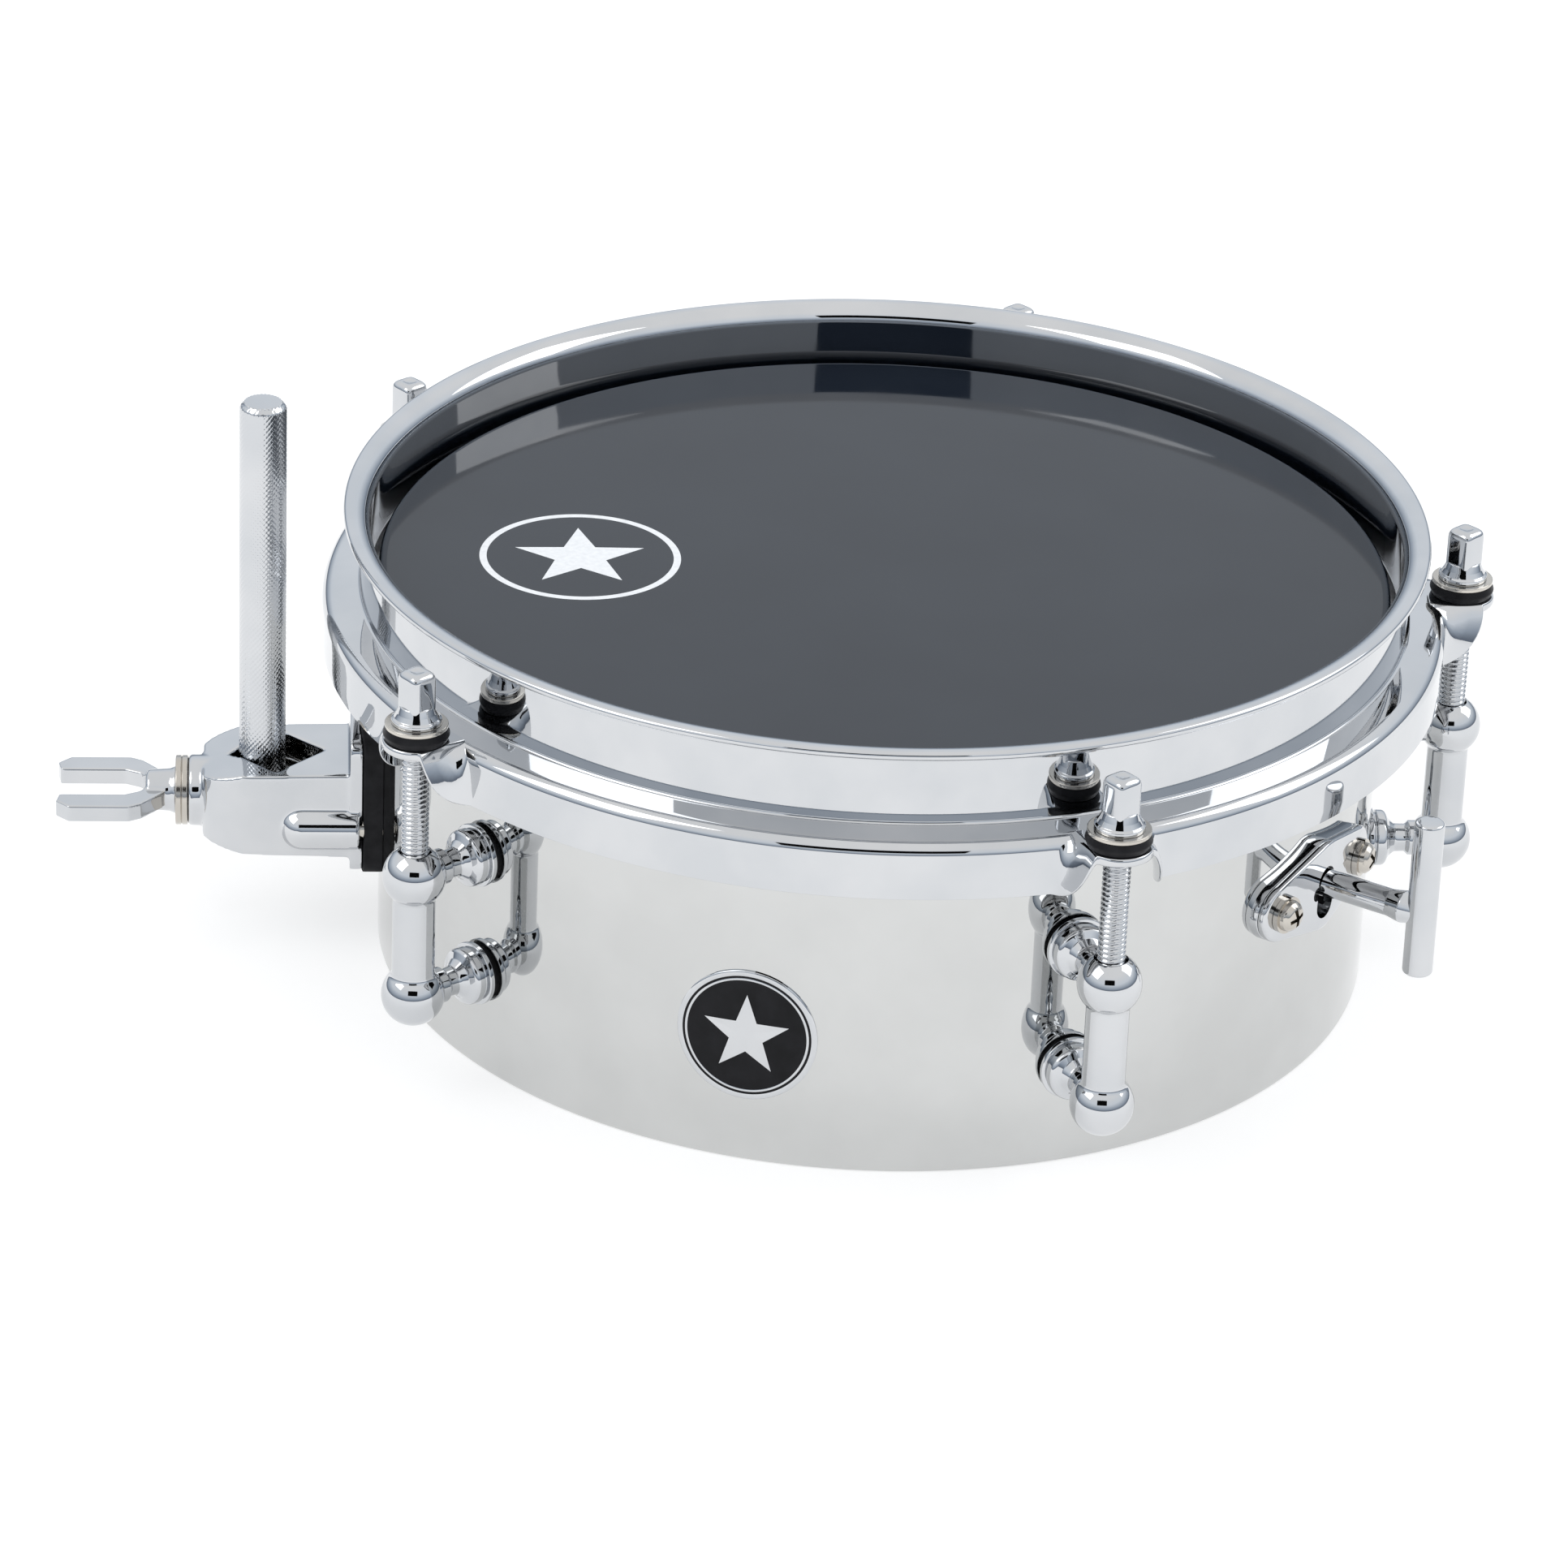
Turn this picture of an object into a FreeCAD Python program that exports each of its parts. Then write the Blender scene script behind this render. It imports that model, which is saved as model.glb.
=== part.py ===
import FreeCAD, Part
import math
import os

from FreeCAD import Vector

# Small snare drum, millimetres. The origin is the centre of the batter head's playing
# surface and +Z is the drum's axis. Every fitting is first drawn on the +X side of the
# drum, with X pointing outward, and is then turned about Z to its own place.

# --- driving dimensions: shell and head -------------------------------------------------
SHELL_RADIUS = 101.0            # outside, an 8 inch drum
SHELL_HEIGHT = 82.55            # 3 1/4 inch
SHELL_WALL = 1.2
BEARING_BEND = 2.0              # centreline radius of the rolled bearing edge
FILM = 0.25
FILM_BEND = 3.0                 # centreline radius where the head turns down
FLESH_HOOP_OUTER = 107.4
FLESH_HOOP_HEIGHT = 7.0

# --- driving dimensions: pressed counterhoop --------------------------------------------
SHEET = 1.8
HOOP_WALL_RADIUS = 105.1        # outside of the upright wall
LIP_RADIUS = 109.2
LIP_TOP = 11.6
SHOULDER_Z = -5.6               # top of the flat shoulder and of the ears
SHOULDER_END = 110.0            # where the skirt starts to turn down
SKIRT_RADIUS = 112.8
SKIRT_BOTTOM = -17.2
EAR_TIP = 123.8
EAR_HALF = 7.4                  # half of the ear's width beside the rod
EAR_ROOT = 10.6                 # and where it leaves the shoulder

# --- driving dimensions: lugs and tension rods ------------------------------------------
LUG_COUNT = 5
LUG_RADIUS = 117.07             # tension rod axis to drum axis
BALL_RADIUS = 6.25
UPPER_BALL_Z = -35.3
LOWER_BALL_Z = -61.4
TUBE_RADIUS = 4.2
ROD_RADIUS = 2.7                # 12-24 screw
ROD_TIP_Z = -52.0
THREAD_GAP = 0.05
KEY_SQUARE = 5.9                # square drum-key head
KEY_TOP = 8.6
COLLAR_RADIUS = 4.9
STEEL_WASHER = (6.15, 0.9)      # radius, thickness
GROMMET = (6.5, 2.6)
LUG_SCREW_RADIUS = 2.1

# --- driving dimensions: mount bracket --------------------------------------------------
BRACKET_ANGLE = 180.0
BRACKET_SCREW_RADIUS = 2.4      # M5
MOUNT_ROD_RADIUS = 4.76         # 3/8 inch
MOUNT_ROD_X = 124.6
MOUNT_ROD_TOP = 34.0
MOUNT_ROD_BOTTOM = -64.0
STOP_GROOVE_Z = -38.0          # how far the rod goes into a stand's clamp
STOP_GROOVE = (0.25, 0.8)       # depth, width
GASKET_THICKNESS = 3.9
FLANGE_THICKNESS = 2.0
FLANGE_HALF_WIDTH = 12.5
FLANGE_TOP = -35.0
FLANGE_BOTTOM = -65.0
BODY_TOP = -42.5
BODY_BOTTOM = -61.3
BODY_HALF_WIDTH = 12.0
BOSS_Z = -52.0
BOSS_RADIUS = 7.25
BOSS_END = 139.6
BOSS_LENGTH = 3.0               # round part beyond the body
BOSS_INSET = 0.4                # how far the body lies inside the boss where they meet
RIB_RADIUS = 4.5
RIB_Y = 10.3
RIB_Z = -55.0
RIB_END = 121.0
EYE_SHANK_RADIUS = 3.0          # M6
EYE_INNER = 5.9
EYE_OUTER = 8.6
EYE_HEIGHT = 6.0
EYE_TRAVEL = 2.0
CLAMP_WASHER = (7.1, 2.5)
HUB_RADIUS = 4.35
HUB_END = 148.2
WING_TIP = 166.0

# --- driving dimensions: strainer and snares --------------------------------------------
STRAINER_ANGLE = 324.0
STRAINER_Z = -40.7
STRAINER_SPREAD = 8.3           # degrees from the middle of the plate to each screw
STRAINER_SCREW_RADIUS = 1.95    # M4
BASE_FACE = 102.6
PLATE_FACE = 104.2
PLATE_MIDDLE_RADIUS = 9.4
PLATE_LOBE_RADIUS = 6.1
STEM_RADIUS = 2.8
STEM_Z = -39.8
SLOT_TOP = -36.4
SLOT_BOTTOM = -47.6
SLOT_HALF_WIDTH = 3.1
T_BAR_X = 125.4
T_BAR_RADIUS = 3.0
T_BAR_TOP = -19.9
T_BAR_BOTTOM = -53.0
SNARE_COUNT = 12
SNARE_PITCH = 3.2
SNARE_COIL_RADIUS = 0.9
SNARE_HALF_LENGTH = 64.0
SNARE_Z = -1.75
CARRIAGE_FACE = 98.6
CARRIAGE_BACK = 90.4
CARRIAGE_HALF_WIDTH = 8.0
CARRIAGE_TOP = -31.0
CARRIAGE_BOTTOM = -47.8
BEAM_HALF_WIDTH = 8.0
BEAM_TOP = -7.4
BEAM_SHEET = 1.6

# --- driving dimensions: badge ----------------------------------------------------------
BADGE_ANGLE = 252.0
BADGE_RADIUS = 13.9
BADGE_THICKNESS = 0.5
BADGE_Z = -55.1

# --- worked out from the driving dimensions ---------------------------------------------
SHELL_TOP = -FILM
SHELL_BOTTOM = SHELL_TOP - SHELL_HEIGHT
SHELL_INNER = SHELL_RADIUS - SHELL_WALL
SHOULDER_UNDER = SHOULDER_Z - SHEET
LUG_STEP = 360.0 / LUG_COUNT
GROMMET_TOP = SHOULDER_Z + GROMMET[1]
WASHER_TOP = GROMMET_TOP + STEEL_WASHER[1]
COLLAR_TOP = WASHER_TOP + 1.6
GASKET_FACE = SHELL_RADIUS + GASKET_THICKNESS
FLANGE_FACE = GASKET_FACE + FLANGE_THICKNESS
EYE_X = MOUNT_ROD_X + EYE_INNER - MOUNT_ROD_RADIUS - 0.06
WASHER_FACE = BOSS_END + CLAMP_WASHER[1]
BADGE_FACE = SHELL_RADIUS + BADGE_THICKNESS

X_AXIS = Vector(1, 0, 0)
Z_AXIS = Vector(0, 0, 1)
ORIGIN = Vector(0, 0, 0)


# --- drawing helpers --------------------------------------------------------------------
def point(r, z):
    return Vector(r, 0, z)


def outline(start, *steps):
    """A closed face in the XZ plane. A step is a point, or (middle, end) for an arc."""
    edges = []
    here = start
    for step in steps + (start,):
        if isinstance(step[0], tuple):
            middle, end = step
            edges.append(Part.Arc(point(*here), point(*middle), point(*end)).toShape())
        else:
            end = step
            if math.dist(here, end) > 1e-6:
                edges.append(Part.LineSegment(point(*here), point(*end)).toShape())
        here = end
    return Part.Face(Part.Wire(edges))


def on_arc(centre, radius, degrees):
    angle = math.radians(degrees)
    return (centre[0] + radius * math.cos(angle), centre[1] + radius * math.sin(angle))


def spin_z(face):
    return face.revolve(ORIGIN, Z_AXIS, 360)


def spin_x(profile, z):
    """Turn (x, radius) points about a line along X at height z."""
    points = [Vector(x, 0, r) for x, r in profile]
    face = Part.Face(Part.makePolygon(points + points[:1]))
    solid = face.revolve(ORIGIN, X_AXIS, 360)
    return solid.translated(Vector(0, 0, z))


def rod_x(radius, x0, x1, y=0.0, z=0.0):
    return Part.makeCylinder(radius, x1 - x0, Vector(x0, y, z), X_AXIS)


def rod_z(radius, z0, z1, x=0.0, y=0.0):
    return Part.makeCylinder(radius, z1 - z0, Vector(x, y, z0))


def block(x0, x1, y0, y1, z0, z1):
    return Part.makeBox(x1 - x0, y1 - y0, z1 - z0, Vector(x0, y0, z0))


def ring_z(outer, inner, z0, z1, x=0.0, y=0.0):
    return rod_z(outer, z0, z1, x, y).cut(rod_z(inner, z0 - 1, z1 + 1, x, y))


def ring_x(outer, inner, x0, x1, y=0.0, z=0.0):
    return rod_x(outer, x0, x1, y, z).cut(rod_x(inner, x0 - 1, x1 + 1, y, z))


def fuse(first, *others):
    return first.fuse(list(others)).removeSplitter()


def turned(shape, angle):
    return shape.rotated(ORIGIN, Z_AXIS, angle)


def lug_angles():
    return [LUG_STEP * k for k in range(LUG_COUNT)]


def at_each_lug(shape):
    return [turned(shape, angle) for angle in lug_angles()]


def save(name, shapes):
    """Write one node, either a single solid or a group of separate solids."""
    shape = shapes if not isinstance(shapes, list) else Part.makeCompound(shapes)
    shape.exportStep(os.path.join("parts", name + ".step"))
    solids = len(shape.Solids)
    print("%-22s %2d solid(s) %10.1f mm3 valid %s" % (name, solids, shape.Volume, shape.isValid()))


# --- shell and head ---------------------------------------------------------------------
def shell_tube():
    """Steel tube with its bearing edge rolled inward and its lower edge turned in."""
    half = SHELL_WALL / 2
    bend = (SHELL_RADIUS - half - BEARING_BEND, SHELL_TOP - half - BEARING_BEND)
    wide = BEARING_BEND + half
    tight = BEARING_BEND - half
    lower_bend = 2.0
    foot = (SHELL_RADIUS - lower_bend, SHELL_BOTTOM + lower_bend)
    foot_tight = lower_bend - SHELL_WALL
    flange = 2.6
    lip = 3.0
    slope = lip * math.cos(math.radians(45))
    outer_end = on_arc(bend, wide, 135)
    inner_end = on_arc(bend, tight, 135)
    return spin_z(outline(
        (SHELL_RADIUS, foot[1]),
        (SHELL_RADIUS, bend[1]),
        (on_arc(bend, wide, 67.5), outer_end),
        (outer_end[0] - slope, outer_end[1] - slope),
        (inner_end[0] - slope, inner_end[1] - slope),
        inner_end,
        (on_arc(bend, tight, 67.5), (SHELL_INNER, bend[1])),
        (SHELL_INNER, foot[1]),
        (on_arc(foot, foot_tight, -45), (foot[0], SHELL_BOTTOM + SHELL_WALL)),
        (foot[0] - flange, SHELL_BOTTOM + SHELL_WALL),
        (foot[0] - flange, SHELL_BOTTOM),
        (foot[0], SHELL_BOTTOM),
        (on_arc(foot, lower_bend, -45), (SHELL_RADIUS, foot[1])),
    ))


def upright_slot(x0, x1, half_width, z0, z1):
    middle = block(x0, x1, -half_width, half_width, z0 + half_width, z1 - half_width)
    low = rod_x(half_width, x0, x1, 0, z0 + half_width)
    high = rod_x(half_width, x0, x1, 0, z1 - half_width)
    return fuse(middle, low, high)


def make_shell():
    shell = shell_tube()
    inside = SHELL_INNER - 6
    outside = SHELL_RADIUS + 4
    cuts = []
    for z in (UPPER_BALL_Z, LOWER_BALL_Z):
        cuts += at_each_lug(rod_x(LUG_SCREW_RADIUS + 0.1, inside, outside, 0, z))
    for y in (-RIB_Y, RIB_Y):
        cuts.append(turned(rod_x(BRACKET_SCREW_RADIUS + 0.1, inside, outside, y, RIB_Z), BRACKET_ANGLE))
    for hole in at_each_strainer_screw(rod_x(STRAINER_SCREW_RADIUS + 0.1, inside, outside, 0, STRAINER_Z)):
        cuts.append(turned(hole, STRAINER_ANGLE))
    slot = upright_slot(inside, outside, SLOT_HALF_WIDTH, SLOT_BOTTOM, SLOT_TOP)
    cuts.append(turned(slot, STRAINER_ANGLE))
    return shell.cut(cuts)


def make_batter_film():
    """Thin film, flat out to the bearing edge, then turned down into the flesh hoop."""
    half = FILM / 2
    bend = (SHELL_RADIUS - SHELL_WALL / 2 - BEARING_BEND, -half - FILM_BEND)
    wide = FILM_BEND + half
    tight = FILM_BEND - half
    end = SHOULDER_UNDER - FLESH_HOOP_HEIGHT + 1
    return spin_z(outline(
        (0, 0),
        (bend[0], 0),
        (on_arc(bend, wide, 45), (bend[0] + wide, bend[1])),
        (bend[0] + wide, end),
        (bend[0] + tight, end),
        (bend[0] + tight, bend[1]),
        (on_arc(bend, tight, 45), (bend[0], -FILM)),
        (0, -FILM),
    ))


def make_flesh_hoop():
    film_outside = SHELL_RADIUS - SHELL_WALL / 2 - BEARING_BEND + FILM_BEND + FILM / 2
    low = SHOULDER_UNDER - FLESH_HOOP_HEIGHT
    return ring_z(FLESH_HOOP_OUTER, film_outside, low, SHOULDER_UNDER)


# --- counterhoop ------------------------------------------------------------------------
def hoop_ring():
    """Lip, upright wall, flat shoulder and skirt, pressed from one thickness of sheet."""
    inner = HOOP_WALL_RADIUS - SHEET
    lip_bend = 3.0
    lip = (inner + lip_bend, LIP_TOP - lip_bend)
    edge = SHEET / 2
    tip = (LIP_RADIUS - edge, LIP_TOP - edge)
    under_bend = 2.6
    cove = (inner + under_bend, SHOULDER_UNDER + under_bend)
    skirt_bend = SKIRT_RADIUS - SHOULDER_END
    corner = (SHOULDER_END, SHOULDER_Z - skirt_bend)
    skirt_inner = SKIRT_RADIUS - SHEET
    return spin_z(outline(
        (inner, cove[1]),
        (inner, lip[1]),
        (on_arc(lip, lip_bend, 135), (lip[0], LIP_TOP)),
        (tip[0], LIP_TOP),
        ((LIP_RADIUS, tip[1]), (tip[0], LIP_TOP - SHEET)),
        (lip[0], LIP_TOP - SHEET),
        (on_arc(lip, lip_bend - SHEET, 135), (HOOP_WALL_RADIUS, lip[1])),
        (HOOP_WALL_RADIUS, cove[1]),
        (on_arc(cove, under_bend - SHEET, 225), (cove[0], SHOULDER_Z)),
        (corner[0], SHOULDER_Z),
        (on_arc(corner, skirt_bend, 45), (SKIRT_RADIUS, corner[1])),
        (SKIRT_RADIUS, SKIRT_BOTTOM + edge),
        ((SKIRT_RADIUS - edge, SKIRT_BOTTOM), (skirt_inner, SKIRT_BOTTOM + edge)),
        (skirt_inner, corner[1]),
        (on_arc(corner, skirt_bend - SHEET, 45), (corner[0], SHOULDER_UNDER)),
        (cove[0], SHOULDER_UNDER),
        (on_arc(cove, under_bend, 225), (inner, cove[1])),
    ))


def ear_plate():
    """Flat ear with a round tip, level with the shoulder."""
    root = SHOULDER_END - 1
    outer = LUG_RADIUS + 1.0
    edges = [
        Part.LineSegment(Vector(root, -EAR_ROOT, 0), Vector(outer, -EAR_HALF, 0)).toShape(),
        Part.Arc(Vector(outer, -EAR_HALF, 0), Vector(EAR_TIP, 0, 0),
                 Vector(outer, EAR_HALF, 0)).toShape(),
        Part.LineSegment(Vector(outer, EAR_HALF, 0), Vector(root, EAR_ROOT, 0)).toShape(),
        Part.LineSegment(Vector(root, EAR_ROOT, 0), Vector(root, -EAR_ROOT, 0)).toShape(),
    ]
    face = Part.Face(Part.Wire(edges))
    return face.extrude(Vector(0, 0, SHEET)).translated(Vector(0, 0, SHOULDER_UNDER))


def ear_cheek(side):
    """Sloping web that carries the ear's edge down into the skirt."""
    top = SHOULDER_Z - 0.4
    corners = [
        Vector(SHOULDER_END + 1, side * (EAR_ROOT - 0.6), top),
        Vector(LUG_RADIUS + 2.6, side * (EAR_HALF - 0.6), top),
        Vector(SKIRT_RADIUS + 3.0, side * (EAR_HALF + 2.2), SHOULDER_Z - 6.4),
        Vector(SKIRT_RADIUS - 0.8, side * (EAR_ROOT + 0.8), SKIRT_BOTTOM + 0.5),
        Vector(SKIRT_RADIUS - 1.2, side * (EAR_ROOT + 1.6), SHOULDER_Z - 6.0),
    ]
    inward = Vector(0, -side * SHEET, 0)
    front = Part.Face(Part.makePolygon([corners[0], corners[1], corners[2], corners[0]]))
    middle = Part.Face(Part.makePolygon([corners[0], corners[2], corners[4], corners[0]]))
    lower = Part.Face(Part.makePolygon([corners[2], corners[3], corners[4], corners[2]]))
    return [face.extrude(inward) for face in (front, middle, lower)]


def ear_window():
    """Arch cut through the skirt below the ear."""
    low = SKIRT_BOTTOM - 1
    outline_points = [
        Vector(SHOULDER_END, -EAR_ROOT, low), Vector(SHOULDER_END, -EAR_HALF + 1, SHOULDER_UNDER),
        Vector(SHOULDER_END, EAR_HALF - 1, SHOULDER_UNDER), Vector(SHOULDER_END, EAR_ROOT, low),
    ]
    face = Part.Face(Part.makePolygon(outline_points + outline_points[:1]))
    return face.extrude(Vector(EAR_TIP - SHOULDER_END, 0, 0))


def make_counter_hoop():
    hoop = hoop_ring().cut(at_each_lug(ear_window()))
    ears = []
    for shape in [ear_plate()] + ear_cheek(1) + ear_cheek(-1):
        ears += at_each_lug(shape)
    hoop = hoop.fuse(ears)
    hole = rod_z(ROD_RADIUS + 0.6, SHOULDER_UNDER - 2, SHOULDER_Z + 2, LUG_RADIUS)
    return hoop.cut(at_each_lug(hole))


# --- tension rods and their washers -----------------------------------------------------
def make_tension_rod():
    """Drum-key head, tapered collar and threaded shank, standing at a lug."""
    half = KEY_SQUARE / 2
    key = block(-half, half, -half, half, COLLAR_TOP, KEY_TOP)
    corners = rod_z(half * 1.22, COLLAR_TOP, KEY_TOP)
    key = key.common(corners)
    dome = Part.makeSphere(8.0, Vector(0, 0, KEY_TOP - 8.0))
    key = key.common(dome)
    collar = Part.makeCone(COLLAR_RADIUS, COLLAR_RADIUS - 1.1, COLLAR_TOP - WASHER_TOP,
                           Vector(0, 0, WASHER_TOP))
    tip = 1.0
    shank = rod_z(ROD_RADIUS, ROD_TIP_Z + tip, WASHER_TOP)
    point_end = Part.makeCone(ROD_RADIUS - tip, ROD_RADIUS, tip, Vector(0, 0, ROD_TIP_Z))
    rod = fuse(shank, point_end, collar, key)
    return rod.translated(Vector(LUG_RADIUS, 0, 0))


def make_steel_washer():
    radius, thickness = STEEL_WASHER
    return ring_z(radius, ROD_RADIUS + 0.3, GROMMET_TOP, GROMMET_TOP + thickness, LUG_RADIUS)


def make_grommet():
    """Soft washer, fatter in the middle than at its faces."""
    radius, height = GROMMET
    low = SHOULDER_Z
    bore = ROD_RADIUS + 0.3
    body = outline(
        (bore, low),
        (radius - 0.5, low),
        ((radius, low + height / 2), (radius - 0.5, low + height)),
        (bore, low + height),
    )
    return spin_z(body).translated(Vector(LUG_RADIUS, 0, 0))


# --- lugs -------------------------------------------------------------------------------
def lug_post(z):
    """Turned post from the ball to the flange that sits on the shell."""
    face = SHELL_RADIUS + 0.7
    profile = [
        (face, 0), (face, 6.4), (face + 0.9, 6.4), (face + 1.2, 5.9), (face + 1.5, 5.2),
        (face + 1.9, 5.6), (face + 3.0, 5.7), (face + 4.2, 5.1), (face + 5.0, 4.0),
        (face + 5.8, 3.2), (face + 7.0, 2.8), (face + 8.6, 2.8), (face + 9.6, 3.4),
        (LUG_RADIUS, 3.4), (LUG_RADIUS, 0),
    ]
    return spin_x(profile, z)


def make_lug():
    tube = rod_z(TUBE_RADIUS, LOWER_BALL_Z, UPPER_BALL_Z, LUG_RADIUS)
    parts = []
    for z in (UPPER_BALL_Z, LOWER_BALL_Z):
        parts.append(Part.makeSphere(BALL_RADIUS, Vector(LUG_RADIUS, 0, z)))
        parts.append(lug_post(z))
    lug = fuse(tube, *parts)
    top = UPPER_BALL_Z + BALL_RADIUS
    bore = rod_z(ROD_RADIUS + THREAD_GAP, LOWER_BALL_Z + 4, top + 1, LUG_RADIUS)
    mouth = rod_z(ROD_RADIUS + 0.5, top - 1.2, top + 1, LUG_RADIUS)
    cuts = [bore, mouth]
    depth = LUG_RADIUS - BALL_RADIUS + 1
    for z in (UPPER_BALL_Z, LOWER_BALL_Z):
        cuts.append(rod_x(LUG_SCREW_RADIUS + THREAD_GAP, SHELL_RADIUS, depth, 0, z))
    return lug.cut(cuts)


def make_lug_gasket(z):
    """Thin seat between a post's flange and the round shell."""
    disc = ring_x(6.3, LUG_SCREW_RADIUS + 0.2, SHELL_RADIUS - 1, SHELL_RADIUS + 0.7, 0, z)
    return disc.cut(rod_z(SHELL_RADIUS, z - 10, z + 10))


def make_lug_screw(z):
    """Pan-head screw from inside the shell, with a hex socket."""
    head_face = 98.8
    head = spin_x([(head_face, 0), (head_face, 3.7), (head_face - 1.5, 3.6),
                   (head_face - 2.4, 2.7), (head_face - 2.4, 0)], z)
    shank = rod_x(LUG_SCREW_RADIUS, head_face - 1, LUG_RADIUS - BALL_RADIUS - 1, 0, z)
    socket = rod_x(1.4, head_face - 3, head_face - 1.2, 0, z)
    return fuse(head, shank).cut(socket)


def make_lug_washer(z):
    return ring_x(5.0, LUG_SCREW_RADIUS + 0.15, 98.8, 99.6, 0, z)


# --- badge ------------------------------------------------------------------------------
def make_badge():
    disc = rod_x(BADGE_RADIUS, SHELL_RADIUS - 4, BADGE_FACE + 2, 0, BADGE_Z)
    skin = ring_z(BADGE_FACE, SHELL_RADIUS, BADGE_Z - 20, BADGE_Z + 20)
    return disc.common(skin)


# --- mount bracket ----------------------------------------------------------------------
def rounded_plate(x0, x1, half_width, z0, z1, corner):
    plate = block(x0, x1, -half_width, half_width, z0, z1)
    edges = [e for e in plate.Edges if abs(e.tangentAt(e.FirstParameter).x) > 0.99]
    return plate.makeFillet(corner, edges)


def bracket_screw_cuts(radius, x0, x1):
    return [rod_x(radius, x0, x1, y, RIB_Z) for y in (-RIB_Y, RIB_Y)]


def make_bracket_gasket():
    plate = rounded_plate(SHELL_RADIUS - 4, GASKET_FACE + 2, FLANGE_HALF_WIDTH + 0.5,
                          FLANGE_BOTTOM, FLANGE_TOP, 3.0)
    skin = ring_z(GASKET_FACE, SHELL_RADIUS, FLANGE_BOTTOM - 5, FLANGE_TOP + 5)
    gasket = plate.common(skin)
    return gasket.cut(bracket_screw_cuts(BRACKET_SCREW_RADIUS + 0.2, SHELL_RADIUS - 5, GASKET_FACE + 5))


def drawn_in(start, neck, side):
    """Convex curve along one side of the body, from its full width in to the boss."""
    run = neck - start
    wide = side * BODY_HALF_WIDTH
    narrow = side * (BOSS_RADIUS - BOSS_INSET)
    curve = Part.BezierCurve()
    curve.setPoles([Vector(start, wide, 0), Vector(start + 0.55 * run, wide, 0),
                    Vector(neck - 0.1 * run, (wide + narrow) / 2, 0), Vector(neck, narrow, 0)])
    return curve.toShape()


def line_between(x0, y0, x1, y1):
    return Part.LineSegment(Vector(x0, y0, 0), Vector(x1, y1, 0)).toShape()


def bracket_body():
    """Body seen from above: straight sides, then drawn in to the round boss."""
    width = BODY_HALF_WIDTH
    narrow = BOSS_RADIUS - BOSS_INSET
    start = GASKET_FACE - 1
    shoulder = MOUNT_ROD_X + 2.0
    neck = BOSS_END - BOSS_LENGTH
    edges = [
        line_between(start, -width, shoulder, -width),
        drawn_in(shoulder, neck, -1),
        line_between(neck, -narrow, neck, narrow),
        drawn_in(shoulder, neck, 1),
        line_between(shoulder, width, start, width),
        line_between(start, width, start, -width),
    ]
    face = Part.Face(Part.Wire(edges))
    body = face.extrude(Vector(0, 0, BODY_TOP - BODY_BOTTOM)).translated(Vector(0, 0, BODY_BOTTOM))
    return body.common(bracket_side_view())


def bracket_side_view():
    """Body seen from the side: level, then sloped above and below to meet the boss."""
    start = GASKET_FACE - 1
    neck = BOSS_END - BOSS_LENGTH
    narrow = BOSS_RADIUS - BOSS_INSET
    side = outline(
        (start, BODY_TOP),
        (MOUNT_ROD_X + 4, BODY_TOP - 0.6),
        (neck, BOSS_Z + narrow),
        (neck, BOSS_Z - narrow),
        (MOUNT_ROD_X + 4, BODY_BOTTOM + 0.6),
        (start, BODY_BOTTOM),
    )
    reach = 30
    return side.extrude(Vector(0, 2 * reach, 0)).translated(Vector(0, -reach, 0))


def diamond_hole():
    """Square hole set on its corner; the rod is pulled into the outer corner."""
    reach = (MOUNT_ROD_RADIUS + THREAD_GAP) * math.sqrt(2)
    outer = MOUNT_ROD_X + reach
    inner = 112.0
    middle = (outer + inner) / 2
    half = (outer - inner) / 2
    corners = [Vector(outer, 0, 0), Vector(middle, half, 0), Vector(inner, 0, 0),
               Vector(middle, -half, 0)]
    face = Part.Face(Part.makePolygon(corners + corners[:1]))
    tall = 60
    return face.extrude(Vector(0, 0, tall)).translated(Vector(0, 0, BOSS_Z - tall / 2))


def eye_pocket():
    """Room for the eye to slide towards the drum when the wing nut is loosened."""
    radius = EYE_OUTER + 0.5
    low = BOSS_Z - EYE_HEIGHT / 2 - 0.5
    high = BOSS_Z + EYE_HEIGHT / 2 + 0.5
    travel = EYE_TRAVEL + 0.4
    ends = [rod_z(radius, low, high, x) for x in (EYE_X, EYE_X - travel)]
    middle = block(EYE_X - travel, EYE_X, -radius, radius, low, high)
    return fuse(middle, *ends)


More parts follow.
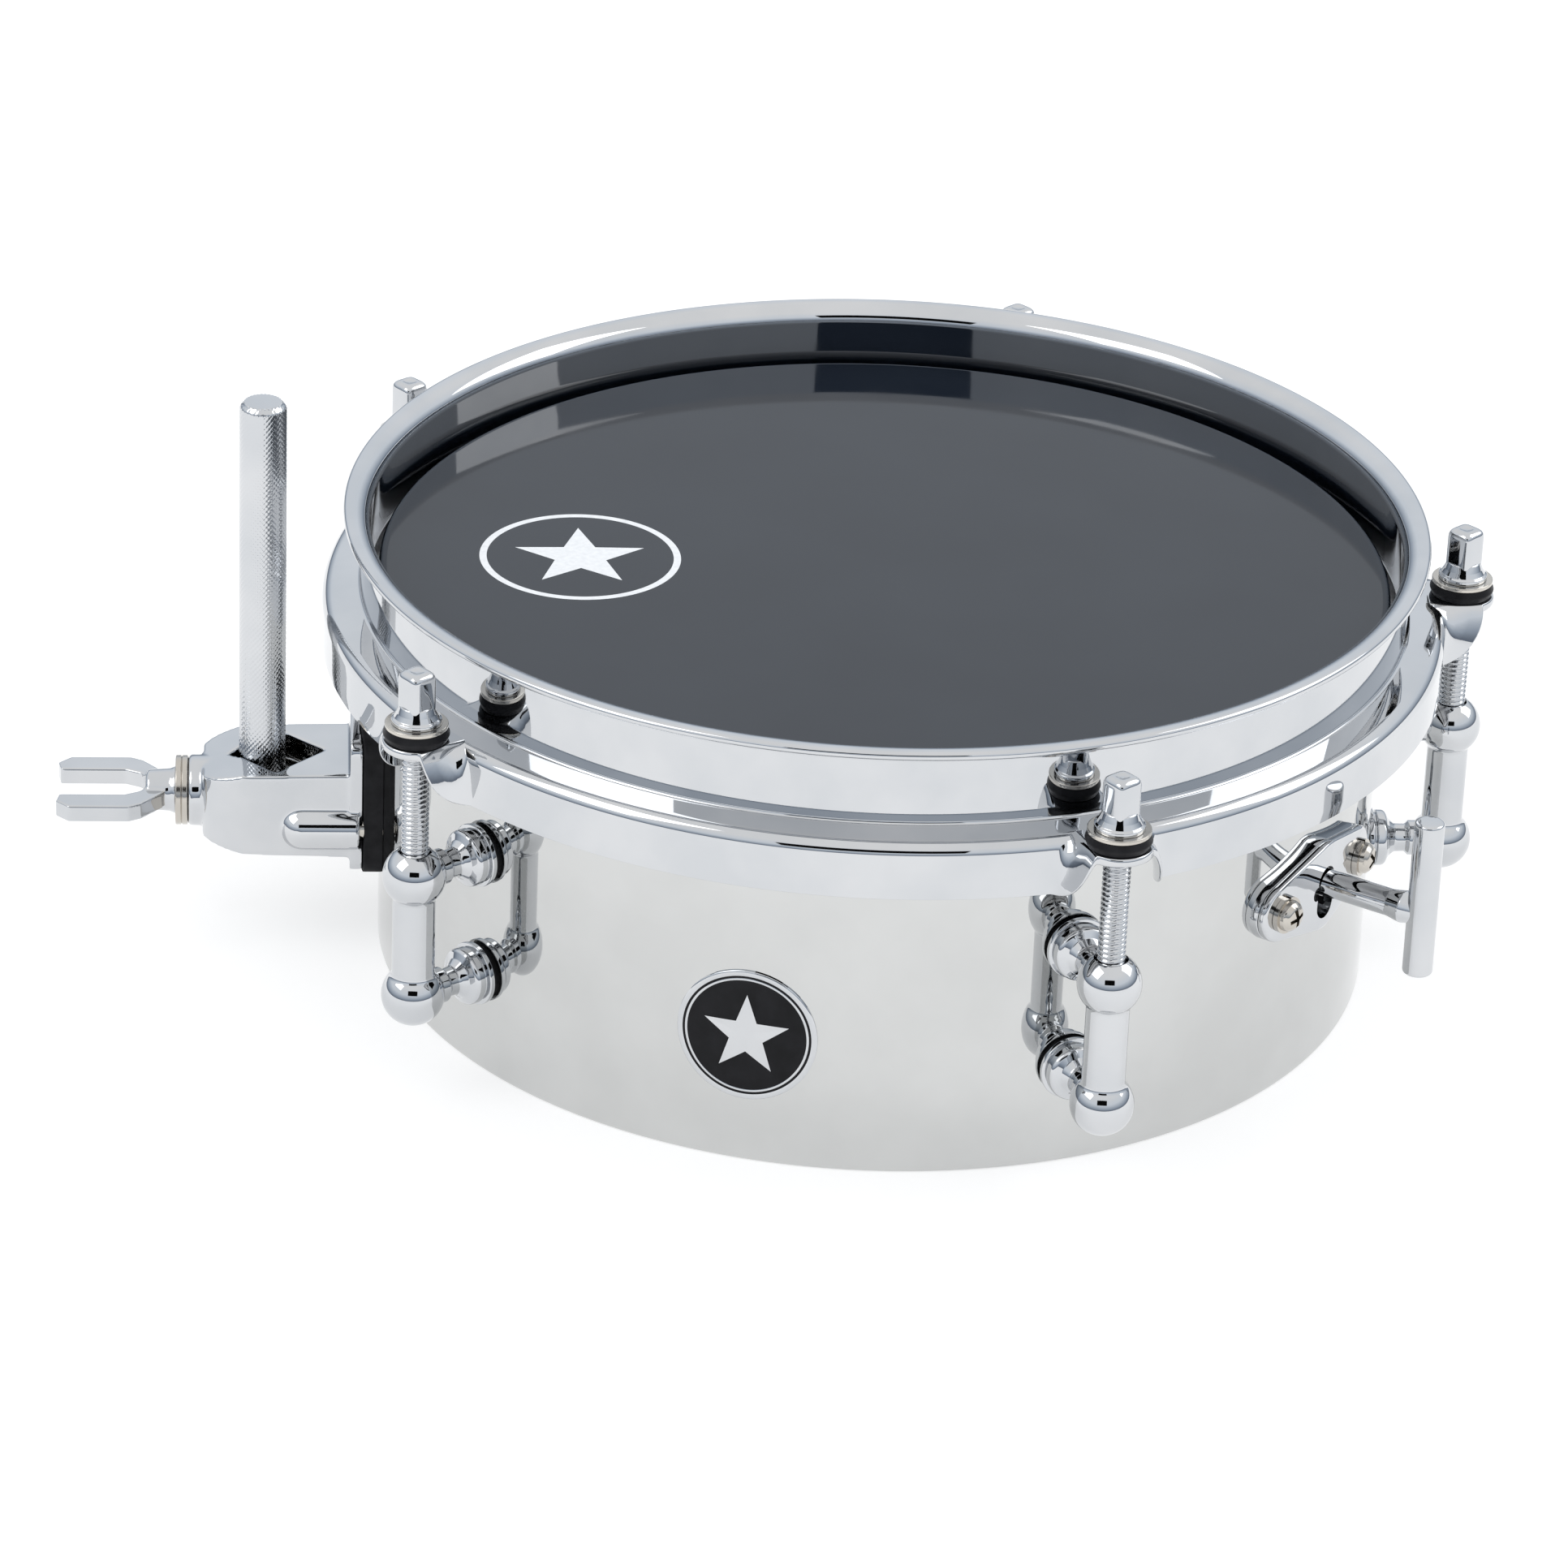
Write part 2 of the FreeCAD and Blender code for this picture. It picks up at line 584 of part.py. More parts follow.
def make_mount_bracket():
    flange = rounded_plate(GASKET_FACE - 4, FLANGE_FACE, FLANGE_HALF_WIDTH,
                           FLANGE_BOTTOM + 0.5, FLANGE_TOP - 0.5, 2.5)
    boss = rod_x(BOSS_RADIUS, MOUNT_ROD_X + 6, BOSS_END, 0, BOSS_Z)
    rim = [edge for edge in boss.Edges if edge.BoundBox.XMin > BOSS_END - 0.01]
    boss = boss.makeFillet(0.8, rim)
    parts = [boss, flange]
    for y in (-RIB_Y, RIB_Y):
        straight = rod_x(RIB_RADIUS, GASKET_FACE, RIB_END - RIB_RADIUS, y, RIB_Z)
        parts.append(straight)
        parts.append(Part.makeSphere(RIB_RADIUS, Vector(RIB_END - RIB_RADIUS, y, RIB_Z)))
    bracket = fuse(bracket_body(), *parts)
    bracket = bracket.cut(rod_z(GASKET_FACE, FLANGE_BOTTOM - 5, FLANGE_TOP + 5))
    cuts = [diamond_hole(), eye_pocket()]
    cuts.append(rod_x(EYE_SHANK_RADIUS + 0.1, EYE_X, BOSS_END + 1, 0, BOSS_Z))
    cuts += bracket_screw_cuts(BRACKET_SCREW_RADIUS + THREAD_GAP, GASKET_FACE - 1, RIB_END - 6)
    return bracket.cut(cuts)


def make_bracket_backing():
    """Curved steel strip inside the shell that spreads the load of the two screws."""
    plate = rounded_plate(90, SHELL_RADIUS, 16.0, RIB_Z - 6, RIB_Z + 6, 2.0)
    skin = ring_z(SHELL_INNER, SHELL_INNER - 1.5, RIB_Z - 20, RIB_Z + 20)
    return plate.common(skin).cut(bracket_screw_cuts(BRACKET_SCREW_RADIUS + 0.2, 90, 110))


def make_bracket_screw(y):
    face = 97.2
    head = spin_x([(face, 0), (face, 4.3), (face - 2.0, 4.1), (face - 3.0, 3.0), (face - 3.0, 0)],
                  RIB_Z)
    head = head.translated(Vector(0, y, 0))
    shank = rod_x(BRACKET_SCREW_RADIUS, face - 1, RIB_END - 7, y, RIB_Z)
    socket = rod_x(1.6, face - 4, face - 1.4, y, RIB_Z)
    return fuse(head, shank).cut(socket)


def make_clamp_washer():
    return ring_x(CLAMP_WASHER[0], EYE_SHANK_RADIUS + 0.3, BOSS_END, WASHER_FACE, 0, BOSS_Z)


def make_mount_rod():
    chamfer = 1.0
    shank = rod_z(MOUNT_ROD_RADIUS, MOUNT_ROD_BOTTOM + chamfer, MOUNT_ROD_TOP - chamfer)
    top = Part.makeCone(MOUNT_ROD_RADIUS, MOUNT_ROD_RADIUS - chamfer, chamfer,
                        Vector(0, 0, MOUNT_ROD_TOP - chamfer))
    foot = Part.makeCone(MOUNT_ROD_RADIUS - chamfer, MOUNT_ROD_RADIUS, chamfer,
                         Vector(0, 0, MOUNT_ROD_BOTTOM))
    depth, width = STOP_GROOVE
    groove = ring_z(MOUNT_ROD_RADIUS + 1, MOUNT_ROD_RADIUS - depth,
                    STOP_GROOVE_Z - width / 2, STOP_GROOVE_Z + width / 2)
    return fuse(shank, top, foot).cut(groove).translated(Vector(MOUNT_ROD_X, 0, 0))


def make_eye_bolt():
    low = BOSS_Z - EYE_HEIGHT / 2
    high = BOSS_Z + EYE_HEIGHT / 2
    eye = rod_z(EYE_OUTER, low, high, EYE_X)
    shank = rod_x(EYE_SHANK_RADIUS, EYE_X, HUB_END - 0.8, 0, BOSS_Z)
    hole = rod_z(EYE_INNER, low - 1, high + 1, EYE_X)
    return fuse(eye, shank).cut(hole)


def wing(side):
    """One wing of the nut, level, curving out from the hub and then running straight."""
    half = 1.75
    near = side * 5.6
    far = side * 11.2
    root = HUB_END - 1.5
    bend = HUB_END + 3.2
    tip_round = 2.6
    outline_points = [
        Vector(root - 3.0, side * 2.0, 0), Vector(root - 2.0, side * 5.0, 0),
        Vector(bend - 2.6, far - side * 1.4, 0), Vector(bend, far, 0),
        Vector(WING_TIP - tip_round, far, 0), Vector(WING_TIP, far - side * tip_round, 0),
        Vector(WING_TIP - 0.6, near, 0), Vector(bend + 1.0, near, 0),
        Vector(bend - 2.2, side * 4.0, 0), Vector(root + 1.2, side * 2.0, 0),
    ]
    face = Part.Face(Part.makePolygon(outline_points + outline_points[:1]))
    solid = face.extrude(Vector(0, 0, 2 * half))
    return solid.translated(Vector(0, 0, BOSS_Z - half))


def make_wing_nut():
    hub = spin_x([(WASHER_FACE, 0), (WASHER_FACE, HUB_RADIUS + 0.5), (WASHER_FACE + 1.2, HUB_RADIUS),
                  (HUB_END - 0.6, HUB_RADIUS - 0.3), (HUB_END, HUB_RADIUS - 0.9), (HUB_END, 0)],
                 BOSS_Z)
    nut = fuse(hub, wing(1), wing(-1))
    bore = rod_x(EYE_SHANK_RADIUS + THREAD_GAP, WASHER_FACE - 1, HUB_END + 8, 0, BOSS_Z)
    return nut.cut(bore)


# --- strainer ---------------------------------------------------------------------------
def at_each_strainer_screw(shape):
    return [turned(shape, side * STRAINER_SPREAD) for side in (-1, 1)]


def diamond_plate(inner, outer):
    """Plate bent to the shell, with a round lobe at each screw and a taller middle."""
    x0 = inner - 8
    x1 = outer + 1
    lobe_y = outer * math.sin(math.radians(STRAINER_SPREAD))
    lean = math.asin((PLATE_MIDDLE_RADIUS - PLATE_LOBE_RADIUS) / lobe_y)
    touch_y = math.sin(lean)
    touch_z = math.cos(lean)
    upper = []
    for side in (1, -1):
        upper.append(Vector(x0, side * (lobe_y + PLATE_LOBE_RADIUS * touch_y),
                            PLATE_LOBE_RADIUS * touch_z))
        upper.append(Vector(x0, side * PLATE_MIDDLE_RADIUS * touch_y,
                            PLATE_MIDDLE_RADIUS * touch_z))
    corners = [upper[0], upper[1], upper[3], upper[2]]
    corners += [Vector(p.x, p.y, -p.z) for p in corners[::-1]]
    web = Part.Face(Part.makePolygon(corners + corners[:1])).extrude(Vector(x1 - x0, 0, 0))
    rounds = [rod_x(PLATE_MIDDLE_RADIUS, x0, x1)]
    for y in (-lobe_y, lobe_y):
        rounds.append(rod_x(PLATE_LOBE_RADIUS, x0, x1, y))
    plate = fuse(web, *rounds).translated(Vector(0, 0, STRAINER_Z))
    return plate.common(ring_z(outer, inner, STRAINER_Z - 20, STRAINER_Z + 20))


def bent_strainer_plate(inner, outer):
    x0 = inner - 8
    x1 = outer + 2
    hole = rod_x(STRAINER_SCREW_RADIUS + 0.15, x0, x1, 0, STRAINER_Z)
    slot = upright_slot(x0, x1, SLOT_HALF_WIDTH, SLOT_BOTTOM, SLOT_TOP)
    return diamond_plate(inner, outer).cut([slot] + at_each_strainer_screw(hole))


def make_lock_washer():
    """Split spring washer under a screw head."""
    washer = ring_x(3.8, STRAINER_SCREW_RADIUS + 0.2, PLATE_FACE, PLATE_FACE + 1.1, 0, STRAINER_Z)
    split = block(PLATE_FACE - 1, PLATE_FACE + 3, -0.35, 0.35, STRAINER_Z, STRAINER_Z + 6)
    return washer.cut(split)


def make_strainer_screw():
    """Domed head with a cross recess, shank through both plates and the shell."""
    face = PLATE_FACE + 1.1
    head = spin_x([(face, 0), (face, 3.5), (face + 0.9, 3.4), (face + 1.7, 2.7),
                   (face + 2.3, 1.5), (face + 2.4, 0)], STRAINER_Z)
    shank = rod_x(STRAINER_SCREW_RADIUS, SHELL_INNER - 5.0, face + 1, 0, STRAINER_Z)
    screw = fuse(head, shank)
    arm = 1.9
    slim = 0.45
    for dy, dz in ((arm, slim), (slim, arm)):
        recess = block(face + 1.1, face + 4, -dy, dy, STRAINER_Z - dz, STRAINER_Z + dz)
        screw = screw.cut(recess)
    return screw


def make_strainer_nut():
    across_corners = 4.05
    thickness = 3.2
    flat_x = SHELL_INNER - 0.1
    corners = []
    for k in range(6):
        angle = math.radians(60 * k)
        corners.append(Vector(flat_x - thickness, across_corners * math.cos(angle),
                              STRAINER_Z + across_corners * math.sin(angle)))
    nut = Part.Face(Part.makePolygon(corners + corners[:1])).extrude(Vector(thickness, 0, 0))
    return nut.cut(rod_x(STRAINER_SCREW_RADIUS + THREAD_GAP, flat_x - 5, flat_x + 1, 0, STRAINER_Z))


def make_t_handle():
    """Stem through the slot into the carriage, with an upright bar to grip."""
    cap = 0.9
    bar = rod_z(T_BAR_RADIUS, T_BAR_BOTTOM + cap, T_BAR_TOP - cap, T_BAR_X)
    top = Part.makeCone(T_BAR_RADIUS, T_BAR_RADIUS - cap, cap, Vector(T_BAR_X, 0, T_BAR_TOP - cap))
    foot = Part.makeCone(T_BAR_RADIUS - cap, T_BAR_RADIUS, cap, Vector(T_BAR_X, 0, T_BAR_BOTTOM))
    stem = rod_x(STEM_RADIUS, CARRIAGE_FACE - 6.5, T_BAR_X, 0, STEM_Z)
    root = Part.makeCone(STEM_RADIUS, STEM_RADIUS + 0.9, 3.0, Vector(T_BAR_X - 4.2, 0, STEM_Z), X_AXIS)
    return fuse(bar, top, foot, stem, root)


# --- snares -----------------------------------------------------------------------------
def make_snare_carriage():
    """Nut block that the T-handle pulls against the shell, behind the slot."""
    body = block(CARRIAGE_BACK, CARRIAGE_FACE, -CARRIAGE_HALF_WIDTH, CARRIAGE_HALF_WIDTH,
                 CARRIAGE_BOTTOM, CARRIAGE_TOP)
    edges = [e for e in body.Edges if abs(e.tangentAt(e.FirstParameter).z) > 0.99]
    body = body.makeFillet(1.2, edges)
    return body.cut(rod_x(STEM_RADIUS + THREAD_GAP, CARRIAGE_BACK - 1, CARRIAGE_FACE + 1, 0, STEM_Z))


def make_snare_beam():
    """Bent strip: up from the carriage, then level across the drum under the head."""
    wall = CARRIAGE_BACK
    half = BEAM_HALF_WIDTH
    upright = block(wall - BEAM_SHEET, wall, -half, half, CARRIAGE_BOTTOM, BEAM_TOP)
    level = block(-SNARE_HALF_LENGTH - 7, wall, -half, half, BEAM_TOP - BEAM_SHEET, BEAM_TOP)
    beam = upright.fuse(level)
    for y in (-half, half - BEAM_SHEET):
        beam = beam.fuse(block(-SNARE_HALF_LENGTH - 7, wall - BEAM_SHEET, y, y + BEAM_SHEET,
                               BEAM_TOP - 5.0, BEAM_TOP - BEAM_SHEET))
    beam = beam.removeSplitter()
    return beam.cut(rod_x(STEM_RADIUS + 0.3, wall - 5, wall + 1, 0, STEM_Z))


def make_snare_end_plate(side):
    """Clamp bar that holds one end of every wire."""
    width = SNARE_PITCH * SNARE_COUNT / 2 + 1.5
    x = side * SNARE_HALF_LENGTH
    foot = block(x - 5, x + 5, -BEAM_HALF_WIDTH, BEAM_HALF_WIDTH, BEAM_TOP, SNARE_Z - 1.6)
    bar = block(x - 3.5, x + 3.5, -width, width, SNARE_Z - 1.6, SNARE_Z - SNARE_COIL_RADIUS)
    return fuse(foot, bar)


def make_snare_wires():
    wires = []
    for k in range(SNARE_COUNT):
        y = (k - (SNARE_COUNT - 1) / 2) * SNARE_PITCH
        wires.append(rod_x(SNARE_COIL_RADIUS, -SNARE_HALF_LENGTH - 3, SNARE_HALF_LENGTH + 3, y, SNARE_Z))
    return wires


def make_beam_rivets():
    """Two rivets that join the beam to the carriage."""
    rivets = []
    for z in (CARRIAGE_TOP - 3.0, CARRIAGE_BOTTOM + 2.6):
        face = CARRIAGE_BACK - BEAM_SHEET
        rivets.append(spin_x([(face, 0), (face, 2.4), (face - 0.9, 1.8), (face - 1.3, 0)], z))
    return rivets


# --- write every node -------------------------------------------------------------------
def build():
    os.makedirs("parts", exist_ok=True)
    save("shell", make_shell())
    save("batter_film", make_batter_film())
    save("flesh_hoop", make_flesh_hoop())
    save("counter_hoop", make_counter_hoop())
    save("steel_washers", at_each_lug(make_steel_washer()))
    save("grommets", at_each_lug(make_grommet()))
    rod = make_tension_rod()
    lug = make_lug()
    for number, angle in enumerate(lug_angles(), start=1):
        save("tension_rod_%d" % number, turned(rod, angle))
        save("tube_lug_%d" % number, turned(lug, angle))
    heights = (UPPER_BALL_Z, LOWER_BALL_Z)
    save("lug_gaskets", [s for z in heights for s in at_each_lug(make_lug_gasket(z))])
    save("lug_screws", [s for z in heights for s in at_each_lug(make_lug_screw(z))])
    save("lug_washers", [s for z in heights for s in at_each_lug(make_lug_washer(z))])
    save("badge", turned(make_badge(), BADGE_ANGLE))
    save_bracket()
    save_strainer()


def save_bracket():
    bracket_nodes = {
        "mount_bracket": make_mount_bracket(),
        "bracket_gasket": make_bracket_gasket(),
        "bracket_backing": make_bracket_backing(),
        "clamp_washer": make_clamp_washer(),
        "mount_rod": make_mount_rod(),
        "eye_bolt": make_eye_bolt(),
        "wing_nut": make_wing_nut(),
    }
    for name, shape in bracket_nodes.items():
        save(name, turned(shape, BRACKET_ANGLE))
    save("bracket_screws", [turned(make_bracket_screw(y), BRACKET_ANGLE) for y in (-RIB_Y, RIB_Y)])


def save_strainer():
    single_nodes = {
        "strainer_base": bent_strainer_plate(SHELL_RADIUS, BASE_FACE),
        "strainer_plate": bent_strainer_plate(BASE_FACE, PLATE_FACE),
        "t_handle": make_t_handle(),
        "snare_carriage": make_snare_carriage(),
        "snare_beam": make_snare_beam(),
    }
    for name, shape in single_nodes.items():
        save(name, turned(shape, STRAINER_ANGLE))
    group_nodes = {
        "strainer_lock_washers": at_each_strainer_screw(make_lock_washer()),
        "strainer_screws": at_each_strainer_screw(make_strainer_screw()),
        "strainer_nuts": at_each_strainer_screw(make_strainer_nut()),
        "snare_end_plates": [make_snare_end_plate(side) for side in (-1, 1)],
        "snare_wires": make_snare_wires(),
        "beam_rivets": make_beam_rivets(),
    }
    for name, shapes in group_nodes.items():
        save(name, [turned(shape, STRAINER_ANGLE) for shape in shapes])


build()
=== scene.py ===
"""Looks of the small chromed snare drum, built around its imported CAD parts.

The frame's origin is the centre of the playing surface and +Z is up. The frame is in metres,
and most outlines are drawn in millimetres and scaled by MM. A fitting is first drawn on the
+X side of the drum and then turned about Z to its own place.
"""
import math

import bpy
from mathutils import Matrix, Vector


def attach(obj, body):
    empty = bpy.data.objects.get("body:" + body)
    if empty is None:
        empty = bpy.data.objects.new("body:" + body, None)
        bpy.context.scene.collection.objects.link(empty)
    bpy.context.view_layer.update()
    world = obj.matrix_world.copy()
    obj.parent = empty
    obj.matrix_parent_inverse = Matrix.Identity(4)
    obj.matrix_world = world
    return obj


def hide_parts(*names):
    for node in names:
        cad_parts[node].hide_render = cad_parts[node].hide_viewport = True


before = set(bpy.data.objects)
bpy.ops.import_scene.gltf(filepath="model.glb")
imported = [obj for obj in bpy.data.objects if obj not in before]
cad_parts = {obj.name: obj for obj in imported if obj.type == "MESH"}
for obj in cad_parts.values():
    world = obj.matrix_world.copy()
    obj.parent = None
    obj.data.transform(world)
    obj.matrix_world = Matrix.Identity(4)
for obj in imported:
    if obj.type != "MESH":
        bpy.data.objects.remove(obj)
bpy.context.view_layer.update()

MM = 0.001

# --- places and sizes shared with the CAD model, angles in degrees ----------------------
LUG_COUNT = 5
LUG_RADIUS = 117.07 * MM         # from the drum's axis to each tension rod
UPPER_BALL_Z = -35.3 * MM
LOWER_BALL_Z = -61.4 * MM
BALL_RADIUS = 6.25 * MM
TUBE_RADIUS = 4.2 * MM
SHELL_RADIUS = 101.0 * MM
SHELL_INNER = 99.8 * MM
SHELL_TOP = -0.25 * MM
SHELL_BOTTOM = -82.8 * MM
ROD_RADIUS = 2.7 * MM
THREAD_PITCH = 25.4 / 24 * MM
STRAINER_ANGLE = 324.0
STRAINER_Z = -40.7 * MM
STRAINER_SPREAD = 8.3            # from the middle of the plate to each screw
PLATE_MIDDLE = 9.4               # strainer plate: radius of its middle, in millimetres,
PLATE_LOBE = 6.1                 # radius of each end,
PLATE_LOBE_Y = 14.95             # and how far each end's centre is from the middle
BRACKET_ANGLE = 180.0
MOUNT_ROD_X = 124.6 * MM
CLAMP_Z = -52.0 * MM             # height of the eye bolt's axis
BADGE_ANGLE = 252.0
BADGE_Z = -55.1 * MM

ROUND = 64                       # segments round a small part


# --- mesh helpers -----------------------------------------------------------------------
def add_piece(name, vertices, faces, material, body, slot, replaces=(), sharp=35.0):
    """A smooth-shaded piece whose wide faces keep their own normals."""
    mesh = bpy.data.meshes.new(name)
    mesh.from_pydata([tuple(v) for v in vertices], [], faces)
    mesh.validate()
    piece = bpy.data.objects.new(name, mesh)
    bpy.context.scene.collection.objects.link(piece)
    finish_piece(piece, material, body, replaces, sharp)
    return piece


def finish_piece(piece, material, body, replaces=(), sharp=35.0):
    """Give a piece its material, shading and body, and hide the CAD parts it replaces."""
    mesh = piece.data
    mesh.materials.clear()
    mesh.materials.append(material)
    mesh.shade_smooth()
    mesh.set_sharp_from_angle(angle=math.radians(sharp))
    weighted = piece.modifiers.new("Face-weighted normals", "WEIGHTED_NORMAL")
    weighted.keep_sharp = True
    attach(piece, body)
    if replaces:
        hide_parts(*replaces)


def grid_faces(rows, columns, close_rows=False):
    """Quads round each row of a grid of points, which are numbered row by row."""
    faces = []
    for i in range(rows if close_rows else rows - 1):
        for j in range(columns):
            a = i * columns + j
            b = i * columns + (j + 1) % columns
            c = ((i + 1) % rows) * columns + (j + 1) % columns
            d = ((i + 1) % rows) * columns + j
            faces.append((a, b, c, d))
    return faces


def capped_faces(rows, columns):
    """Quads round each row, and one face over each end."""
    faces = grid_faces(rows, columns)
    faces.append(tuple(range(columns))[::-1])
    last = (rows - 1) * columns
    faces.append(tuple(range(last, last + columns)))
    return faces


def rounded(corners, steps=5):
    """Points along a line through (r, z, fillet radius) corners, with each corner rounded."""
    points = []
    count = len(corners)
    for k, (r, z, fillet) in enumerate(corners):
        here = Vector((r, z))
        if fillet <= 0 or k == 0 or k == count - 1:
            points.append(here)
            continue
        before = Vector(corners[k - 1][:2]) - here
        after = Vector(corners[k + 1][:2]) - here
        turn = before.angle(after)
        reach = fillet / math.tan(turn / 2)
        reach = min(reach, before.length * 0.49, after.length * 0.49)
        start = here + before.normalized() * reach
        end = here + after.normalized() * reach
        for s in range(steps + 1):
            t = s / steps
            points.append(start * (1 - t) ** 2 + here * 2 * t * (1 - t) + end * t ** 2)
    return points


def scaled(profile):
    """A profile of (r, z) in millimetres, in the frame's metres."""
    return [Vector((p[0], p[1])) * MM for p in profile]


def polar(r, angle, z):
    """Point at a radius, an angle in radians and a height."""
    return Vector((r * math.cos(angle), r * math.sin(angle), z))


def lathe(profile, segments=ROUND, closed=False):
    """Vertices and faces of a turned shape. Its ends are capped unless it is closed.

    A profile that runs to the axis stops just short of it, so that its cap has an area.
    """
    vertices = [polar(r, 2 * math.pi * j / segments, z)
                for r, z in profile for j in range(segments)]
    if closed:
        return vertices, grid_faces(len(profile), segments, close_rows=True)
    return vertices, capped_faces(len(profile), segments)


def turn_z(degrees):
    """Turn about the drum's axis."""
    return Matrix.Rotation(math.radians(degrees), 4, "Z")


def along_x(z=0.0, y=0.0):
    """Lay a shape turned about Z along +X, at height z and y to the side."""
    return Matrix.Translation((0, y, z)) @ Matrix.Rotation(math.radians(90), 4, "Y")


def merged(shapes):
    """Several (vertices, faces) shapes as one."""
    vertices = []
    faces = []
    for more_vertices, more_faces in shapes:
        start = len(vertices)
        vertices += more_vertices
        faces += [tuple(start + i for i in face) for face in more_faces]
    return vertices, faces


def moved(shape, matrix):
    """A shape put through a matrix."""
    return [matrix @ v for v in shape[0]], shape[1]


def out_to(radius, shape):
    """Move an upright shape from the drum's axis to a radius on the +X side."""
    return moved(shape, Matrix.Translation((radius, 0, 0)))


def lug_angles():
    """Angle of each lug about the drum's axis, in degrees."""
    return [360.0 / LUG_COUNT * k for k in range(LUG_COUNT)]


def at_each_lug(shape):
    """One copy of a shape at each lug."""
    return merged([moved(shape, turn_z(angle)) for angle in lug_angles()])


def on_bracket(shape):
    """Turn a shape to the bracket's side."""
    return moved(shape, turn_z(BRACKET_ANGLE))


def at_strainer(shape):
    """Turn a shape to the strainer's side."""
    return moved(shape, turn_z(STRAINER_ANGLE))


def smoothstep(low, high, value):
    """Ease from 0 at low to 1 at high."""
    t = min(max((value - low) / (high - low), 0.0), 1.0)
    return t * t * (3 - 2 * t)


# --- materials --------------------------------------------------------------------------
def new_material(name):
    """A node material, with its nodes, links and shader."""
    material = bpy.data.materials.new(name)
    material.use_nodes = True
    nodes = material.node_tree.nodes
    shader = nodes["Principled BSDF"]
    return material, nodes, material.node_tree.links, shader


def object_place(nodes):
    """Texture coordinates in the piece's own frame, in metres."""
    return nodes.new("ShaderNodeTexCoord").outputs["Object"]


def noise(nodes, links, place, scale, detail=3.0):
    """Cloudy value between 0 and 1, finer with a larger scale."""
    texture = nodes.new("ShaderNodeTexNoise")
    texture.inputs["Scale"].default_value = scale
    texture.inputs["Detail"].default_value = detail
    links.new(place, texture.inputs["Vector"])
    return texture.outputs["Fac"]


def ramp(nodes, links, value, low, high, first, second):
    """Blend between two colours as value goes from low to high."""
    node = nodes.new("ShaderNodeValToRGB")
    node.color_ramp.elements[0].position = low
    node.color_ramp.elements[1].position = high
    node.color_ramp.elements[0].color = (*first, 1)
    node.color_ramp.elements[1].color = (*second, 1)
    links.new(value, node.inputs["Fac"])
    return node.outputs["Color"]


def grey(value):
    """The same value in all three channels."""
    return (value,) * 3


def bump(nodes, links, shader, height, strength, distance):
    """Fine relief in a surface, distance in metres."""
    node = nodes.new("ShaderNodeBump")
    node.inputs["Strength"].default_value = strength
    node.inputs["Distance"].default_value = distance
    links.new(height, node.inputs["Height"])
    links.new(node.outputs["Normal"], shader.inputs["Normal"])


def plated_metal(name, dark, light, rough_low, rough_high, ripple=0.0):
    """Plated metal: faint clouding in its tint and polish, and a slight ripple."""
    material, nodes, links, shader = new_material(name)
    place = object_place(nodes)
    cloud = noise(nodes, links, place, scale=60.0)
    links.new(ramp(nodes, links, cloud, 0.35, 0.65, dark, light), shader.inputs["Base Color"])
    haze = noise(nodes, links, place, scale=140.0, detail=5.0)
    links.new(ramp(nodes, links, haze, 0.4, 0.75, grey(rough_low), grey(rough_high)),
              shader.inputs["Roughness"])
    shader.inputs["Metallic"].default_value = 1.0
    if ripple:
        wave = noise(nodes, links, place, scale=45.0, detail=1.0)
        bump(nodes, links, shader, wave, strength=ripple, distance=0.0004)
    return material


def head_film():
    """Gloss black film over a dark grey base, with a faint haze from handling."""
    material, nodes, links, shader = new_material("head_film")
    place = object_place(nodes)
    cloud = noise(nodes, links, place, scale=28.0, detail=4.0)
    tone = ramp(nodes, links, cloud, 0.3, 0.7, (0.010, 0.014, 0.022), (0.014, 0.019, 0.028))
    links.new(tone, shader.inputs["Base Color"])
    haze = noise(nodes, links, place, scale=95.0, detail=6.0)
    links.new(ramp(nodes, links, haze, 0.35, 0.8, grey(0.05), grey(0.10)),
              shader.inputs["Roughness"])
    shader.inputs["IOR"].default_value = 1.39
    grain = noise(nodes, links, place, scale=1500.0, detail=2.0)
    bump(nodes, links, shader, grain, strength=0.04, distance=0.00002)
    return material


def dark_polymer(name, colour, pale, rough_low, rough_high, grain_scale, strength):
    """Black nylon, rubber or enamel, with a fine grain."""
    material, nodes, links, shader = new_material(name)
    place = object_place(nodes)
    cloud = noise(nodes, links, place, scale=220.0, detail=4.0)
    links.new(ramp(nodes, links, cloud, 0.35, 0.7, colour, pale), shader.inputs["Base Color"])
    haze = noise(nodes, links, place, scale=500.0, detail=4.0)
    links.new(ramp(nodes, links, haze, 0.3, 0.7, grey(rough_low), grey(rough_high)),
              shader.inputs["Roughness"])
    grain = noise(nodes, links, place, grain_scale, detail=3.0)
    bump(nodes, links, shader, grain, strength, distance=0.00005)
    shader.inputs["Specular IOR Level"].default_value = 0.1
    return material


def print_ink():
    """White screen-printed ink, very slightly mottled."""
    material, nodes, links, shader = new_material("print_ink")
    place = object_place(nodes)
    cloud = noise(nodes, links, place, scale=900.0, detail=3.0)
    tone = ramp(nodes, links, cloud, 0.3, 0.7, (0.74, 0.76, 0.79), (0.84, 0.86, 0.88))
    links.new(tone, shader.inputs["Base Color"])
    shader.inputs["Roughness"].default_value = 0.28
    return material


